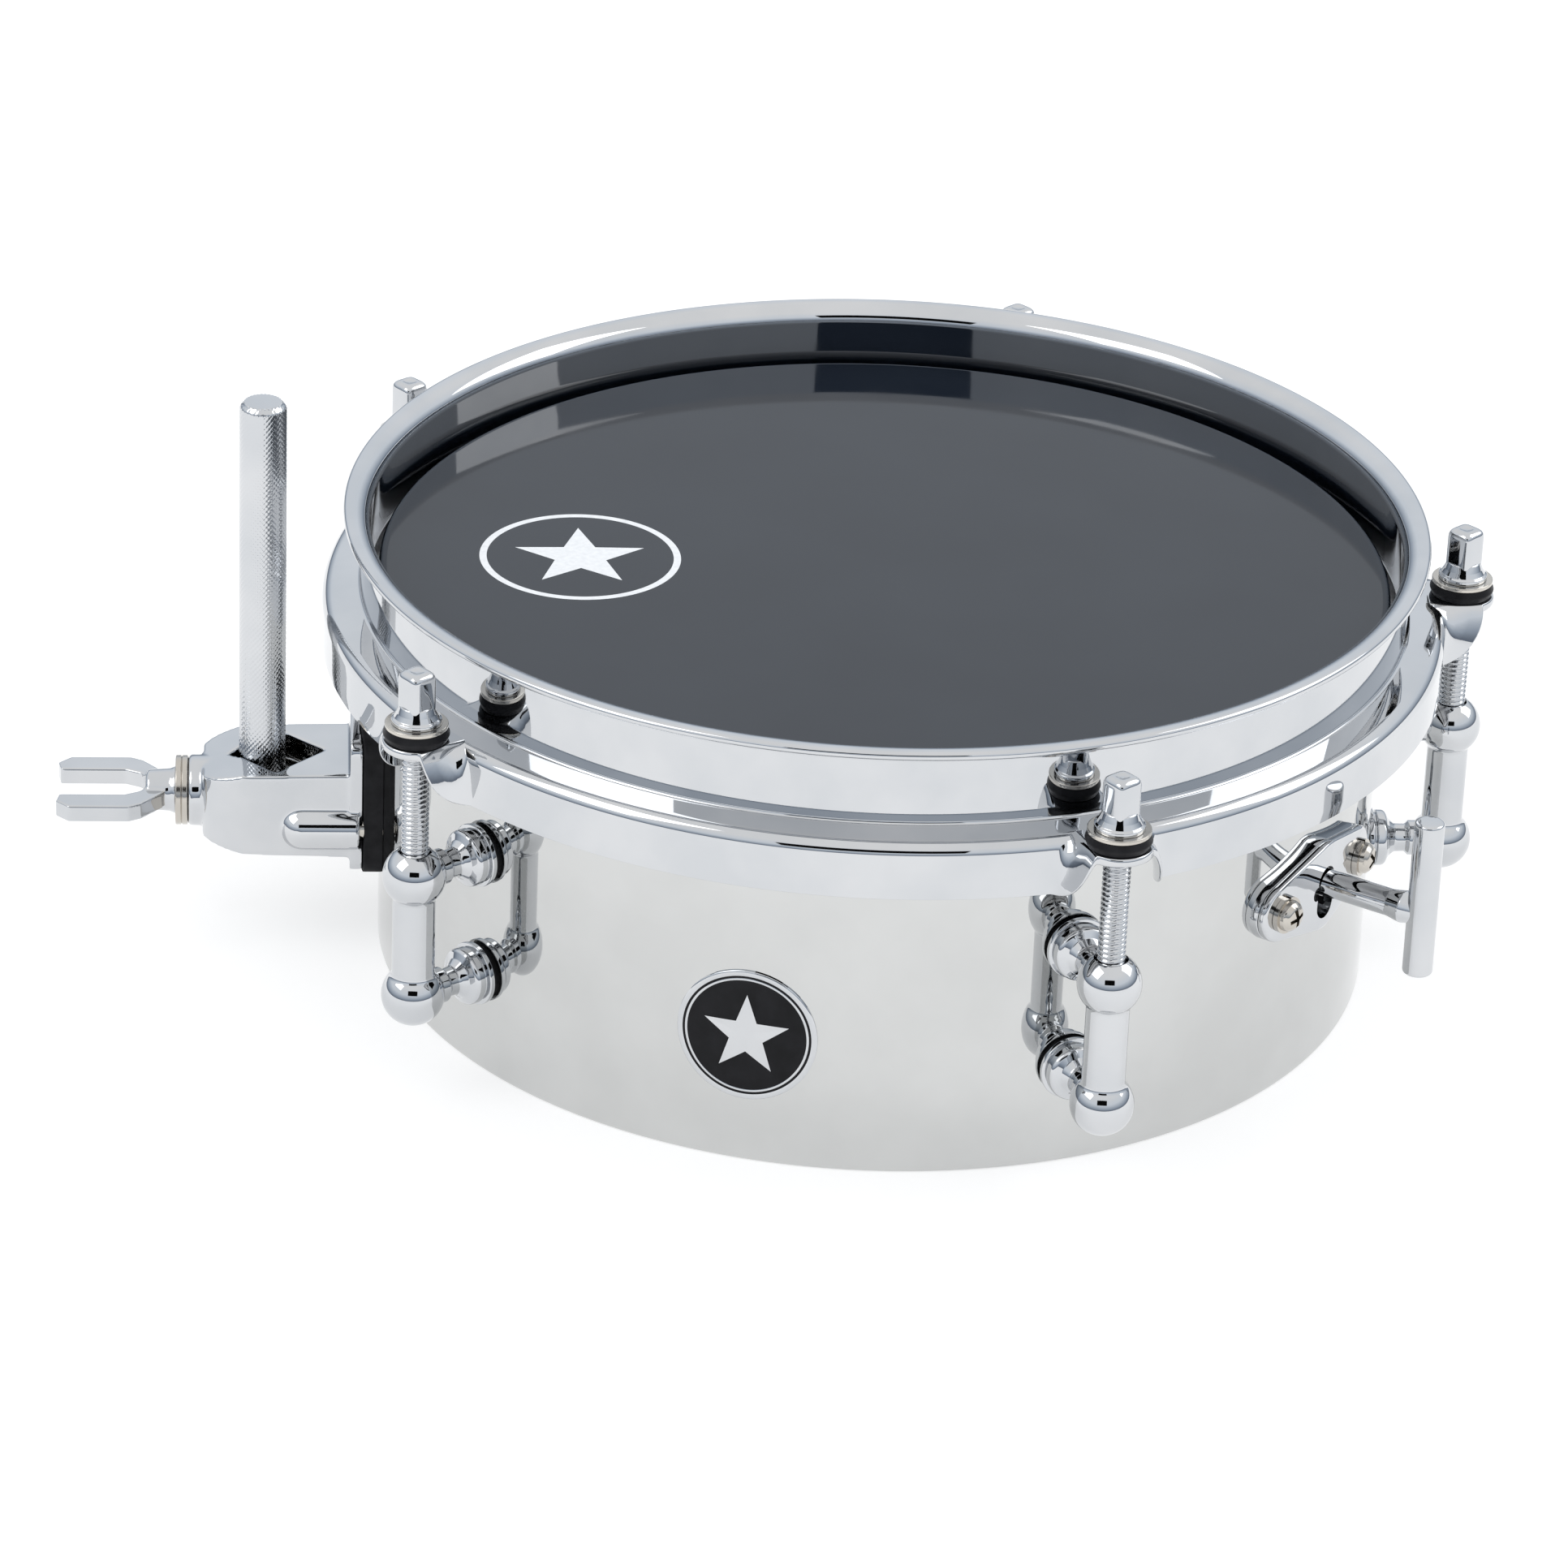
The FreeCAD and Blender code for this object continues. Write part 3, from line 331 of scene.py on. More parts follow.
# Each plate has its darker tint, its lighter tint, and its lowest and highest roughness. The
# rolled shell is a little warmer and less flat than the small fittings.
chrome = plated_metal("chrome_plate", (0.565, 0.58, 0.60), (0.615, 0.625, 0.64), 0.02, 0.05)
shell_finish = plated_metal("shell_chrome", (0.575, 0.58, 0.575), (0.60, 0.605, 0.60),
                            0.025, 0.05, ripple=0.06)
nickel = plated_metal("nickel_plate", (0.50, 0.47, 0.43), (0.60, 0.57, 0.52), 0.14, 0.24)
zinc = plated_metal("zinc_steel", (0.50, 0.52, 0.55), (0.66, 0.67, 0.69), 0.28, 0.42, ripple=0.1)
aluminium = plated_metal("satin_aluminium", (0.62, 0.62, 0.63), (0.74, 0.74, 0.75), 0.3, 0.4)
wire_steel = plated_metal("spring_wire", (0.66, 0.66, 0.67), (0.78, 0.78, 0.79), 0.12, 0.22)
film_black = head_film()
nylon = dark_polymer("black_nylon", (0.010, 0.010, 0.011), (0.020, 0.020, 0.022), 0.3, 0.42,
                     grain_scale=1800, strength=0.1)
rubber = dark_polymer("black_rubber", (0.011, 0.011, 0.012), (0.022, 0.022, 0.024), 0.55, 0.7,
                      grain_scale=2600, strength=0.3)
enamel = dark_polymer("badge_enamel", (0.010, 0.010, 0.011), (0.015, 0.015, 0.017), 0.12, 0.2,
                      grain_scale=900, strength=0.05)
ink = print_ink()


# --- shell ------------------------------------------------------------------------------
def make_shell():
    """Rolled bead at each edge, a flat wall between them, and the strainer's slot."""
    top = SHELL_TOP
    low = SHELL_BOTTOM
    profile = rounded([
        (99.0 * MM, low, 0), (SHELL_RADIUS, low, 2.0 * MM), (SHELL_RADIUS, top, 2.6 * MM),
        (96.9 * MM, top, 0.9 * MM), (94.5 * MM, top - 2.2 * MM, 0.3 * MM),
        (95.4 * MM, top - 3.1 * MM, 0.3 * MM), (97.2 * MM, top - 1.3 * MM, 0.5 * MM),
        (SHELL_INNER, top - 1.6 * MM, 1.2 * MM), (SHELL_INNER, low + 1.2 * MM, 0.8 * MM),
        (96.4 * MM, low + 1.2 * MM, 0.2 * MM), (96.4 * MM, low, 0.2 * MM),
    ], steps=6)
    vertices, faces = lathe(profile, 360, closed=True)
    shell = add_piece("drum_shell", vertices, faces, shell_finish, "drum", "chrome", ["shell"])
    cut(shell, slot_cutter())


def cut(piece, shape):
    """Cut a shape out of a piece, for good."""
    mesh = bpy.data.meshes.new("cutter")
    mesh.from_pydata([tuple(v) for v in shape[0]], [], shape[1])
    cutter = bpy.data.objects.new("cutter", mesh)
    bpy.context.scene.collection.objects.link(cutter)
    boolean = piece.modifiers.new("Cut", "BOOLEAN")
    boolean.operation = "DIFFERENCE"
    boolean.object = cutter
    boolean.solver = "EXACT"
    with bpy.context.temp_override(object=piece, active_object=piece):
        bpy.ops.object.modifier_move_to_index(modifier="Cut", index=0)
        bpy.ops.object.modifier_apply(modifier="Cut")
    bpy.data.objects.remove(cutter)


# --- batter head ------------------------------------------------------------------------
def make_film():
    """Flat playing surface and its tight turn down into the flesh hoop."""
    edge = 101.5 * MM
    turn = 1.9 * MM
    skirt_end = -13.4 * MM
    wall = 0.25 * MM
    wall_from = 98 * MM
    thickness = 0.24 * MM
    profile = rounded([(0.02 * MM, 0, 0), (edge, 0, turn), (edge, skirt_end, 0)], steps=6)
    middle = [Vector((r * MM, 0)) for r in (20, 40, 60, 80, 95)]
    profile = profile[:1] + middle + profile[1:]
    under = [Vector((p.x - (wall if p.x > wall_from else 0), p.y - thickness))
             for p in profile[::-1]]
    vertices, faces = lathe(profile + under, 240)
    add_piece("head_film", vertices, faces, film_black, "drum", "film", ["batter_film"])


# --- counterhoop ------------------------------------------------------------------------
# All in millimetres, with a point as (radius, z).
SHEET = 1.8                      # thickness
EAR_FLAT = 5.5                   # the ear is flat this far either side of the rod
EAR_FOLD = 11.8                  # where the fold has become the skirt
EAR_ROUND = 6.7                  # round end of the ear, about the rod
EAR_REACH = 13.0                 # close-set columns reach this far either side of the rod,
EAR_CIRCLE = 117.0               # measured round a circle of this radius
LIP = (107.0, 7.9)               # centre of the lip's bend
LIP_INSIDE = 3.7                 # its radius on the playing side
LIP_OUTSIDE = 1.9
BEAD = (107.8, 10.7)             # round edge of the lip
BEAD_RADIUS = 0.9
COVE = (105.9, -4.3)             # centre of the bend from the rim to the shoulder
COVE_ABOVE = 0.8                 # its radius above the shoulder
COVE_BELOW = 2.6
SHOULDER_START = (107.6, -5.3)
SHOULDER_TOP = -5.6
FLAT_END = 110.0                 # where the shoulder starts to bend down
SKIRT_BEND = 2.8
SKIRT_LENGTH = 8.8
RUN_SHARE = 0.97                 # of a skirt's or an ear's length, then its rounded edge
EDGE_SHARE = 0.03


def arc(centre, radius, first, last, steps):
    """Points on an arc, angles in degrees."""
    points = []
    for k in range(steps + 1):
        angle = math.radians(first + (last - first) * k / steps)
        points.append((centre[0] + radius * math.cos(angle), centre[1] + radius * math.sin(angle)))
    return points


def flap(fold, length, offset, steps=7):
    """Bend and straight run beyond the flat shoulder, offset inward from the outside."""
    centre = (FLAT_END, SHOULDER_TOP - SKIRT_BEND)
    radius = SKIRT_BEND - offset
    bend = 90.0 * fold
    points = arc(centre, radius, 90, 90 - bend, steps)
    end = math.radians(90 - bend)
    along = (math.sin(end), -math.cos(end))
    runs = 4
    for k in range(1, runs + 1):
        run = length * k / runs * RUN_SHARE
        points.append((points[steps][0] + along[0] * run, points[steps][1] + along[1] * run))
    return points, along, (math.cos(end), math.sin(end))


def hoop_profile(offset):
    """Closed profile of the hoop where the rod's axis is this far away, in millimetres."""
    side = abs(offset)
    fold = smoothstep(EAR_FLAT, EAR_FOLD, side)
    flat_side = min(side, EAR_FLAT)
    ear_length = LUG_RADIUS / MM + math.sqrt(EAR_ROUND ** 2 - flat_side ** 2) - FLAT_END
    length = ear_length * (1 - fold) + SKIRT_LENGTH * fold
    profile = arc(LIP, LIP_INSIDE, 180, 90, 9)
    profile += arc(BEAD, BEAD_RADIUS, 90, -90, 8)
    profile += arc(LIP, LIP_OUTSIDE, 90, 180, 6)
    profile += arc(COVE, COVE_ABOVE, 180, 270, 5)
    profile.append(SHOULDER_START)
    outer, along, outward = flap(fold, length, 0.0)
    profile += outer
    tip = outer[-1]
    rim = length * EDGE_SHARE
    round_edge = ((0.35, 0.1), (0.85, 0.4), (1.0, 0.9), (0.85, 1.4), (0.35, 1.7))
    for back, inset in round_edge:
        profile.append((tip[0] + along[0] * rim * back - outward[0] * inset,
                        tip[1] + along[1] * rim * back - outward[1] * inset))
    inner, _, _ = flap(fold, length, SHEET)
    profile += inner[::-1]
    profile += arc(COVE, COVE_BELOW, 270, 180, 7)
    return profile


def hoop_angles():
    """Close-set columns across each ear and wider ones between them, in degrees."""
    step = 360.0 / LUG_COUNT
    reach = math.degrees(EAR_REACH / EAR_CIRCLE)
    fine = 64
    coarse = 48
    angles = []
    for lug in lug_angles():
        for k in range(fine):
            angles.append((lug, lug - reach + 2 * reach * k / fine))
        for k in range(coarse):
            angles.append((lug, lug + reach + (step - 2 * reach) * k / coarse))
    return angles


def make_hoop():
    """Pressed steel ring with a rolled lip, a skirt, and a folded ear at each lug."""
    columns = []
    for lug, angle in hoop_angles():
        offset = math.radians(angle - lug) * LUG_RADIUS / MM
        direction = math.radians(angle)
        columns.append([polar(r, direction, z) * MM for r, z in hoop_profile(offset)])
    rows = len(columns[0])
    vertices = [column[i] for i in range(rows) for column in columns]
    faces = grid_faces(rows, len(columns), close_rows=True)
    add_piece("pressed_hoop", vertices, faces, chrome, "hoop", "chrome",
              ["counter_hoop"], sharp=50)


# --- tension rods and their washers -----------------------------------------------------
FIRST_TWIST = 24.0               # each key head has come to rest at its own angle
TWIST_STEP = 17.0
WASHER_BORE = 2.95


def key_head(segments=ROUND):
    """Square drum-key head with round corners, a soft top edge and a small dimple."""
    squareness = 4.4             # exponent: 2 is round, and more is squarer
    levels = [(-0.6, 2.98), (6.9, 2.98), (7.4, 2.93), (7.85, 2.78), (8.2, 2.52), (8.45, 2.15),
              (8.57, 1.75), (8.6, 1.35), (8.52, 1.05), (8.4, 0.75), (8.34, 0.4), (8.32, 0.05)]
    vertices = []
    for z, half in levels:
        for k in range(segments):
            angle = 2 * math.pi * k / segments
            c = abs(math.cos(angle))
            s = abs(math.sin(angle))
            r = half / (c ** squareness + s ** squareness) ** (1 / squareness)
            vertices.append(polar(r, angle, z) * MM)
    return vertices, capped_faces(len(levels), segments)


def threaded(radius, depth, pitch, low, high, segments=32, per_turn=8):
    """Helical thread cut into a round shank between two heights."""
    rows = int((high - low) / pitch * per_turn)
    flank = 1.25                 # over 1 leaves a flat crest
    vertices = []
    for i in range(rows + 1):
        z = low + (high - low) * i / rows
        for j in range(segments):
            phase = (z / pitch - j / segments) % 1.0
            groove = depth * max(0.0, 1 - abs(2 * phase - 1) * flank)
            angle = 2 * math.pi * j / segments
            vertices.append(polar(radius - groove, angle, z))
    return vertices, capped_faces(rows + 1, segments)


def tension_rod(twist):
    """Key head, tapered collar, threaded shank and plain tip."""
    collar = scaled(rounded([(0.05, -2.1, 0), (4.9, -2.1, 0.15), (4.9, -1.2, 0.35),
                             (4.4, -0.85, 0.3), (3.9, 0.1, 1.2), (3.3, 1.5, 0.4),
                             (0.05, 1.9, 0)]))
    plain = scaled([(0.05, -52.0), (1.9, -52.0), (2.5, -51.2), (2.5, -32.0), (0.05, -32.0)])
    thread = threaded(ROD_RADIUS, depth=0.36 * MM, pitch=THREAD_PITCH,
                      low=-33.0 * MM, high=-1.8 * MM)
    head = moved(key_head(), turn_z(twist))
    rod = merged([head, lathe(collar), lathe(plain, 32), thread])
    return out_to(LUG_RADIUS, rod)


def make_tension_rods():
    """Five rods, each on its own body."""
    for number, angle in enumerate(lug_angles(), start=1):
        twist = FIRST_TWIST + TWIST_STEP * number
        vertices, faces = moved(tension_rod(twist), turn_z(angle))
        add_piece("tension_rod_%d_detail" % number, vertices, faces, chrome,
                  "rod_%d" % number, "chrome", ["tension_rod_%d" % number], sharp=40)


def washer_ring(outer, low, high, fillet, bulge=0.0):
    """Flat ring about the rod's axis with softened edges, and with a bulging side if asked."""
    middle = (low + high) / 2
    corners = [(WASHER_BORE, low, 0.02), (outer - bulge, low, fillet), (outer, middle, 0.6),
               (outer - bulge, high, fillet), (WASHER_BORE, high, 0.02)]
    if not bulge:
        corners.pop(2)
    profile = scaled(rounded(corners))
    return out_to(LUG_RADIUS, lathe(profile, closed=True))


def make_washers():
    """A steel washer on a nylon grommet under each rod's collar."""
    seat = -3.0                  # where the washer lies on the grommet
    steel = at_each_lug(washer_ring(6.15, low=seat, high=-2.13, fillet=0.25))
    add_piece("rod_washers", *steel, nickel, "hoop", "nickel", ["steel_washers"])
    soft = at_each_lug(washer_ring(6.5, low=SHOULDER_TOP, high=seat, fillet=0.3, bulge=0.5))
    add_piece("rod_grommets", *soft, nylon, "hoop", "black_nylon", ["grommets"])


# --- tube lugs --------------------------------------------------------------------------
def lug_column():
    """Two balls joined by a tube, bored from the top for the tension rod."""
    upper = UPPER_BALL_Z / MM
    lower = LOWER_BALL_Z / MM
    ball = BALL_RADIUS / MM
    tube = TUBE_RADIUS / MM
    bore = 2.75
    bore_mouth = 3.35
    tube_end = 5.1               # from each ball's centre
    gap = 3                      # degrees of each ball left out where the tube meets it
    steps = 28
    waist = math.degrees(math.acos(tube / ball))
    mouth = math.degrees(math.acos(bore_mouth / ball))
    profile = arc((0, lower), ball, -89.5, waist - gap, steps)
    profile += [(tube, lower + tube_end), (tube, upper - tube_end)]
    profile += arc((0, upper), ball, -waist + gap, mouth, steps)
    profile += [(3.1, upper + 5.25), (2.95, upper + 4.9), (bore, upper + 4.4)]
    profile += [(bore, lower + 5.0), (0.05, lower + 4.4)]
    return out_to(LUG_RADIUS, lathe(scaled(profile)))


def lug_post(z):
    """Turned post: flange on the shell, groove, rounded ring, and a neck into the ball."""
    corners = [(0.05, 101.7, 0), (6.35, 101.7, 0.2), (6.4, 102.75, 0.3), (5.3, 102.95, 0.1),
               (5.25, 103.25, 0.1), (5.8, 103.5, 0.25), (5.75, 105.3, 1.2), (4.0, 106.2, 0.6),
               (2.9, 107.5, 1.2), (2.85, 109.6, 0.5), (3.6, 110.3, 0.4), (3.6, 113.0, 0.0),
               (0.05, 113.0, 0)]
    return moved(lathe(scaled(rounded(corners))), along_x(z))


def make_lug_gaskets():
    """Thin dark ring under each post, a little smaller than the post's flange."""
    ring = scaled([(2.6, 100.7), (5.6, 100.7), (5.7, 101.2), (5.7, 101.72), (2.6, 101.72)])
    pair = merged([moved(lathe(ring, closed=True), along_x(z))
                   for z in (UPPER_BALL_Z, LOWER_BALL_Z)])
    add_piece("lug_gasket_rings", *at_each_lug(pair), rubber, "drum", "black_rubber",
              ["lug_gaskets"])


def make_lugs():
    """Five lugs, each a column on two posts."""
    lug = merged([lug_column(), lug_post(UPPER_BALL_Z), lug_post(LOWER_BALL_Z)])
    for number, angle in enumerate(lug_angles(), start=1):
        vertices, faces = moved(lug, turn_z(angle))
        add_piece("tube_lug_%d_detail" % number, vertices, faces, chrome, "drum", "chrome",
                  ["tube_lug_%d" % number], sharp=32)


# --- emblems: a plain star in a ring ----------------------------------------------------
def star_rim(outer, inner, points=5, start=90.0):
    """Corners of a star as (u, v)."""
    rim = []
    for k in range(points * 2):
        radius = outer if k % 2 == 0 else inner
        angle = math.radians(start + 180.0 / points * k)
        rim.append((radius * math.cos(angle), radius * math.sin(angle)))
    return rim


def densified(rim, parts):
    """A closed outline with each side cut into parts."""
    dense = []
    for k, (u, v) in enumerate(rim):
        next_u, next_v = rim[(k + 1) % len(rim)]
        for s in range(parts):
            t = s / parts
            dense.append((u + (next_u - u) * t, v + (next_v - v) * t))
    return dense


def flat_print(rim, low, high):
    """Thin layer over a closed outline, as (u, v, height) points."""
    count = len(rim)
    bottom = [(u, v, low) for u, v in rim]
    top = [(u, v, high) for u, v in rim]
    centre = (sum(u for u, _ in rim) / count, sum(v for _, v in rim) / count)
    points = bottom + top + [(*centre, high), (*centre, low)]
    faces = grid_faces(2, count)
    for k in range(count):
        after = (k + 1) % count
        faces.append((count + k, count + after, 2 * count))
        faces.append((after, k, 2 * count + 1))
    return points, faces


def rings(profile, segments=128):
    """Closed loop of concentric rings of (radius, height), as (u, v, height) points."""
    points = []
    for radius, height in profile:
        for k in range(segments):
            angle = 2 * math.pi * k / segments
            points.append((radius * math.cos(angle), radius * math.sin(angle), height))
    return points, grid_faces(len(profile), segments, close_rows=True)


def make_head_print():
    """White ring and star printed on the playing surface, near the bracket side."""
    low = -0.01
    high = 0.025
    outer = 20.2
    inner = 18.75
    centre = (-61.2 * MM, 1.7 * MM, 0)
    ring = rings([(outer, low), (outer, high), (inner, high), (inner, low)], segments=160)
    star = flat_print(star_rim(outer=13.6, inner=5.4, start=162.0), low, high)
    points, faces = merged([ring, star])
    place = Matrix.Translation(centre)
    vertices = [place @ (Vector(p) * MM) for p in points]
    add_piece("head_print", vertices, faces, ink, "drum", "film", sharp=20)


# --- badge ------------------------------------------------------------------------------
def on_shell(points):
    """Wrap (u, v, height) points onto the shell at the badge's place."""
    wrapped = []
    for u, v, height in points:
        radius = (SHELL_RADIUS / MM + height) * MM
        x = math.sqrt(radius ** 2 - (u * MM) ** 2)
        wrapped.append(turn_z(BADGE_ANGLE) @ Vector((x, u * MM, BADGE_Z + v * MM)))
    return wrapped


def make_badge():
    """Chromed rim and line round a black disc, with a chromed star."""
    rim = [(13.9, 0.0), (13.9, 0.3), (13.75, 0.45), (13.5, 0.5),
           (12.95, 0.5), (12.8, 0.46), (12.75, 0.3), (12.75, 0.0)]
    line = [(12.3, 0.1), (12.3, 0.42), (12.2, 0.47), (11.95, 0.47), (11.85, 0.42), (11.85, 0.1)]
    disc = [(12.85, 0.0), (12.85, 0.34), (11.0, 0.35), (9.0, 0.35), (7.0, 0.35), (5.0, 0.35),
            (3.0, 0.35), (1.0, 0.35), (0.05, 0.35), (0.05, 0.0), (6.0, 0.0)]
    for name, profile, material, replaced in (("badge_rim", rim, chrome, ["badge"]),
                                              ("badge_line", line, chrome, []),
                                              ("badge_disc", disc, enamel, [])):
        points, faces = rings(profile)
        add_piece(name, on_shell(points), faces, material, "drum", "badge_enamel", replaced)
    outline = densified(star_rim(outer=8.8, inner=3.5), 8)
    points, faces = flat_print(outline, low=0.3, high=0.46)
    add_piece("badge_star", on_shell(points), faces, chrome, "drum", "badge_enamel", sharp=20)


# --- mount bracket ----------------------------------------------------------------------
def softened(name, node, voxel, rounds, material, body):
    """A cast piece: the CAD shape with every edge eased by remeshing and smoothing."""
    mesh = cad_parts[node].data.copy()
    piece = bpy.data.objects.new(name, mesh)
    bpy.context.scene.collection.objects.link(piece)
    remesh = piece.modifiers.new("Remesh", "REMESH")
    remesh.mode = "VOXEL"
    remesh.voxel_size = voxel
    ease = piece.modifiers.new("Ease", "SMOOTH")
    ease.factor = 0.5
    ease.iterations = rounds
    dg = bpy.context.evaluated_depsgraph_get()
    eased = bpy.data.meshes.new_from_object(piece.evaluated_get(dg))
    piece.modifiers.clear()
    piece.data = eased
    finish_piece(piece, material, body, [node], sharp=180)


def knurled(radius, depth, starts, pitch, low, high):
    """Diamond knurl: two crossing sets of helical grooves leave small pyramids."""
    chamfer = 0.9 * MM
    chamfer_length = 1.2 * MM
    segments = starts * 4
    rows = int((high - low) / pitch * 4)
    vertices = []
    for i in range(rows + 1):
        z = low + (high - low) * i / rows
        end = min(z - low, high - z)
        taper = smoothstep(0.0, chamfer_length, end)
        for j in range(segments):
            one = (z / pitch + j / 4.0) % 1.0
            two = (z / pitch - j / 4.0) % 1.0
            peak = min(1 - abs(2 * one - 1), 1 - abs(2 * two - 1))
            r = radius - depth * (1 - peak) - (1 - taper) * chamfer
            angle = 2 * math.pi * j / segments
            vertices.append(polar(r, angle, z))
    return vertices, capped_faces(rows + 1, segments)


def make_mount_rod():
    """Knurled rod with chamfered ends."""
    rod = knurled(radius=4.76 * MM, depth=0.32 * MM, starts=30, pitch=1.15 * MM,
                  low=-64.0 * MM, high=34.0 * MM)
    add_piece("knurled_rod", *on_bracket(out_to(MOUNT_ROD_X, rod)), chrome, "mount_rod",
              "knurled_rod", ["mount_rod"], sharp=70)


def make_bracket():
    """Cast, moulded and forged pieces of the clamp, and its grooved spring washer."""
    softened("cast_bracket", "mount_bracket", voxel=0.32 * MM, rounds=10, material=chrome,
             body="drum")
    softened("moulded_gasket", "bracket_gasket", voxel=0.2 * MM, rounds=4, material=rubber,
             body="drum")
    softened("forged_eye", "eye_bolt", voxel=0.25 * MM, rounds=5, material=nickel,
             body="eye_bolt")
    softened("cast_wing_nut", "wing_nut", voxel=0.22 * MM, rounds=7, material=chrome,
             body="wing_nut")
    lip = [(3.3, 139.6, 0.02), (7.1, 139.6, 0.3), (7.1, 140.7, 0.15), (6.8, 140.85, 0.1),
           (7.1, 141.0, 0.15), (7.1, 142.1, 0.3), (3.3, 142.1, 0.02)]
    ring = lathe(scaled(rounded(lip)), closed=True)
    add_piece("spring_washer", *on_bracket(moved(ring, along_x(CLAMP_Z))), nickel, "drum",
              "nickel", ["clamp_washer"])


# --- strainer ---------------------------------------------------------------------------
def diamond_outline(inset, steps=20):
    """Rounded diamond round three circles, as (y, z) about the plate's middle."""
    middle = PLATE_MIDDLE - inset
    lobe = PLATE_LOBE - inset
    lean = math.degrees(math.asin((PLATE_MIDDLE - PLATE_LOBE) / PLATE_LOBE_Y))
    rim = arc((PLATE_LOBE_Y, 0), lobe, -90 + lean, 90 - lean, steps)
    rim += arc((0, 0), middle, 90 - lean, 90 + lean, steps)
    rim += arc((-PLATE_LOBE_Y, 0), lobe, 90 + lean, 270 - lean, steps)
    rim += arc((0, 0), middle, 270 - lean, 270 + lean, steps)
    return rim


def plate_shape(profile):
    """Bent plate lofted through outlines on cylinders, from a profile of (radius, inset)."""
    inward = (0.05, 0.3, 0.55, 0.8)
    levels = [(*profile[0], share) for share in inward]
    levels += [(radius, inset, 1.0) for radius, inset in profile]
    levels += [(*profile[-1], share) for share in inward[::-1]]
    vertices = []
    for radius, inset, share in levels:
        for y, z in diamond_outline(inset):
            x = math.sqrt(radius ** 2 - (y * share) ** 2)
            vertices.append(Vector((x * MM, y * share * MM, STRAINER_Z + z * share * MM)))
    return at_strainer((vertices, capped_faces(len(levels), len(diamond_outline(0)))))


def slot_cutter():
    """Round-ended upright slot through the shell and the strainer's plates."""
    half = 3.1 * MM
    high = -36.4 * MM
    low = -47.6 * MM
    inside = 90 * MM
    outside = 110 * MM
    count = 24
    rim = []
    for k in range(count):
        angle = 2 * math.pi * (k + 0.5) / count
        middle = high - half if math.sin(angle) > 0 else low + half
        rim.append((half * math.cos(angle), middle + half * math.sin(angle)))
    vertices = [Vector((x, y, z)) for x in (inside, outside) for y, z in rim]
    return at_strainer((vertices, capped_faces(2, count)))


def notch_cutter(side):
    """Round notch in one side of the slot, -1 or 1."""
    radius = 1.5 * MM
    centre = 3.3 * MM
    height = -41.2 * MM
    notch = lathe([Vector((radius, 95 * MM)), Vector((radius, 110 * MM))], 20)
    return at_strainer(moved(notch, along_x(height, side * centre)))


def box_shape(x0, x1, y0, y1, z0, z1):
    """Box between two corners, in millimetres."""
    corners = [Vector((x, y, z)) * MM for x in (x0, x1) for y in (y0, y1) for z in (z0, z1)]
    faces = [(0, 1, 3, 2), (4, 6, 7, 5), (0, 4, 5, 1), (2, 3, 7, 6), (0, 2, 6, 4), (1, 5, 7, 3)]
    return corners, faces


def make_strainer_plates():
    """Base plate and cover plate, bent to the shell and slotted."""
    base = plate_shape([(101.0, 0.0), (102.3, 0.0), (102.5, 0.08), (102.58, 0.25)])
    saddle = add_piece("strainer_saddle", *base, chrome, "drum", "chrome", ["strainer_base"])
    cover = plate_shape([(102.62, 0.25), (102.7, 0.08), (102.9, 0.0), (103.6, 0.0),
                         (103.9, 0.1), (104.1, 0.3), (104.2, 0.6)])
    plate = add_piece("strainer_cover", *cover, chrome, "drum", "chrome", ["strainer_plate"])
    for piece in (saddle, plate):
        for cutter in (slot_cutter(), notch_cutter(-1), notch_cutter(1)):
            cut(piece, cutter)


def make_strainer_screws():
    """Two domed cross-head screws, square to the bent plate."""
    head = [(0.05, 104.6, 0), (3.15, 104.6, 0), (3.2, 105.5, 0.25), (3.0, 106.3, 0.7),
            (2.2, 107.2, 1.2), (0.05, 107.7, 0)]
    shank = [(0.05, 94.8, 0), (1.9, 94.8, 0.3), (1.9, 104.7, 0), (0.05, 104.7, 0)]
    place = along_x(STRAINER_Z)
    screw = merged([moved(lathe(scaled(rounded(head))), place),
                    moved(lathe(scaled(rounded(shank)), 32), place)])
    shapes = []
    cutters = []
    long = 1.95                  # half the length and half the width of the recess's arms
    short = 0.42
    recess = 106.1
    clear = 109.0                # past the top of the head
    for side, twist in ((-1, 12.0), (1, 38.0)):
        spread = turn_z(side * STRAINER_SPREAD)
        shapes.append(moved(screw, spread))
        turn = (Matrix.Translation((0, 0, STRAINER_Z))
                @ Matrix.Rotation(math.radians(twist), 4, "X"))
        for wide, tall in ((long, short), (short, long)):
            arm = box_shape(recess, clear, -wide, wide, -tall, tall)
            cutters.append(at_strainer(moved(arm, spread @ turn)))
    screws = add_piece("strainer_screw_pair", *at_strainer(merged(shapes)), nickel, "drum",
                       "nickel", ["strainer_screws"])
    for cutter in cutters:
        cut(screws, cutter)


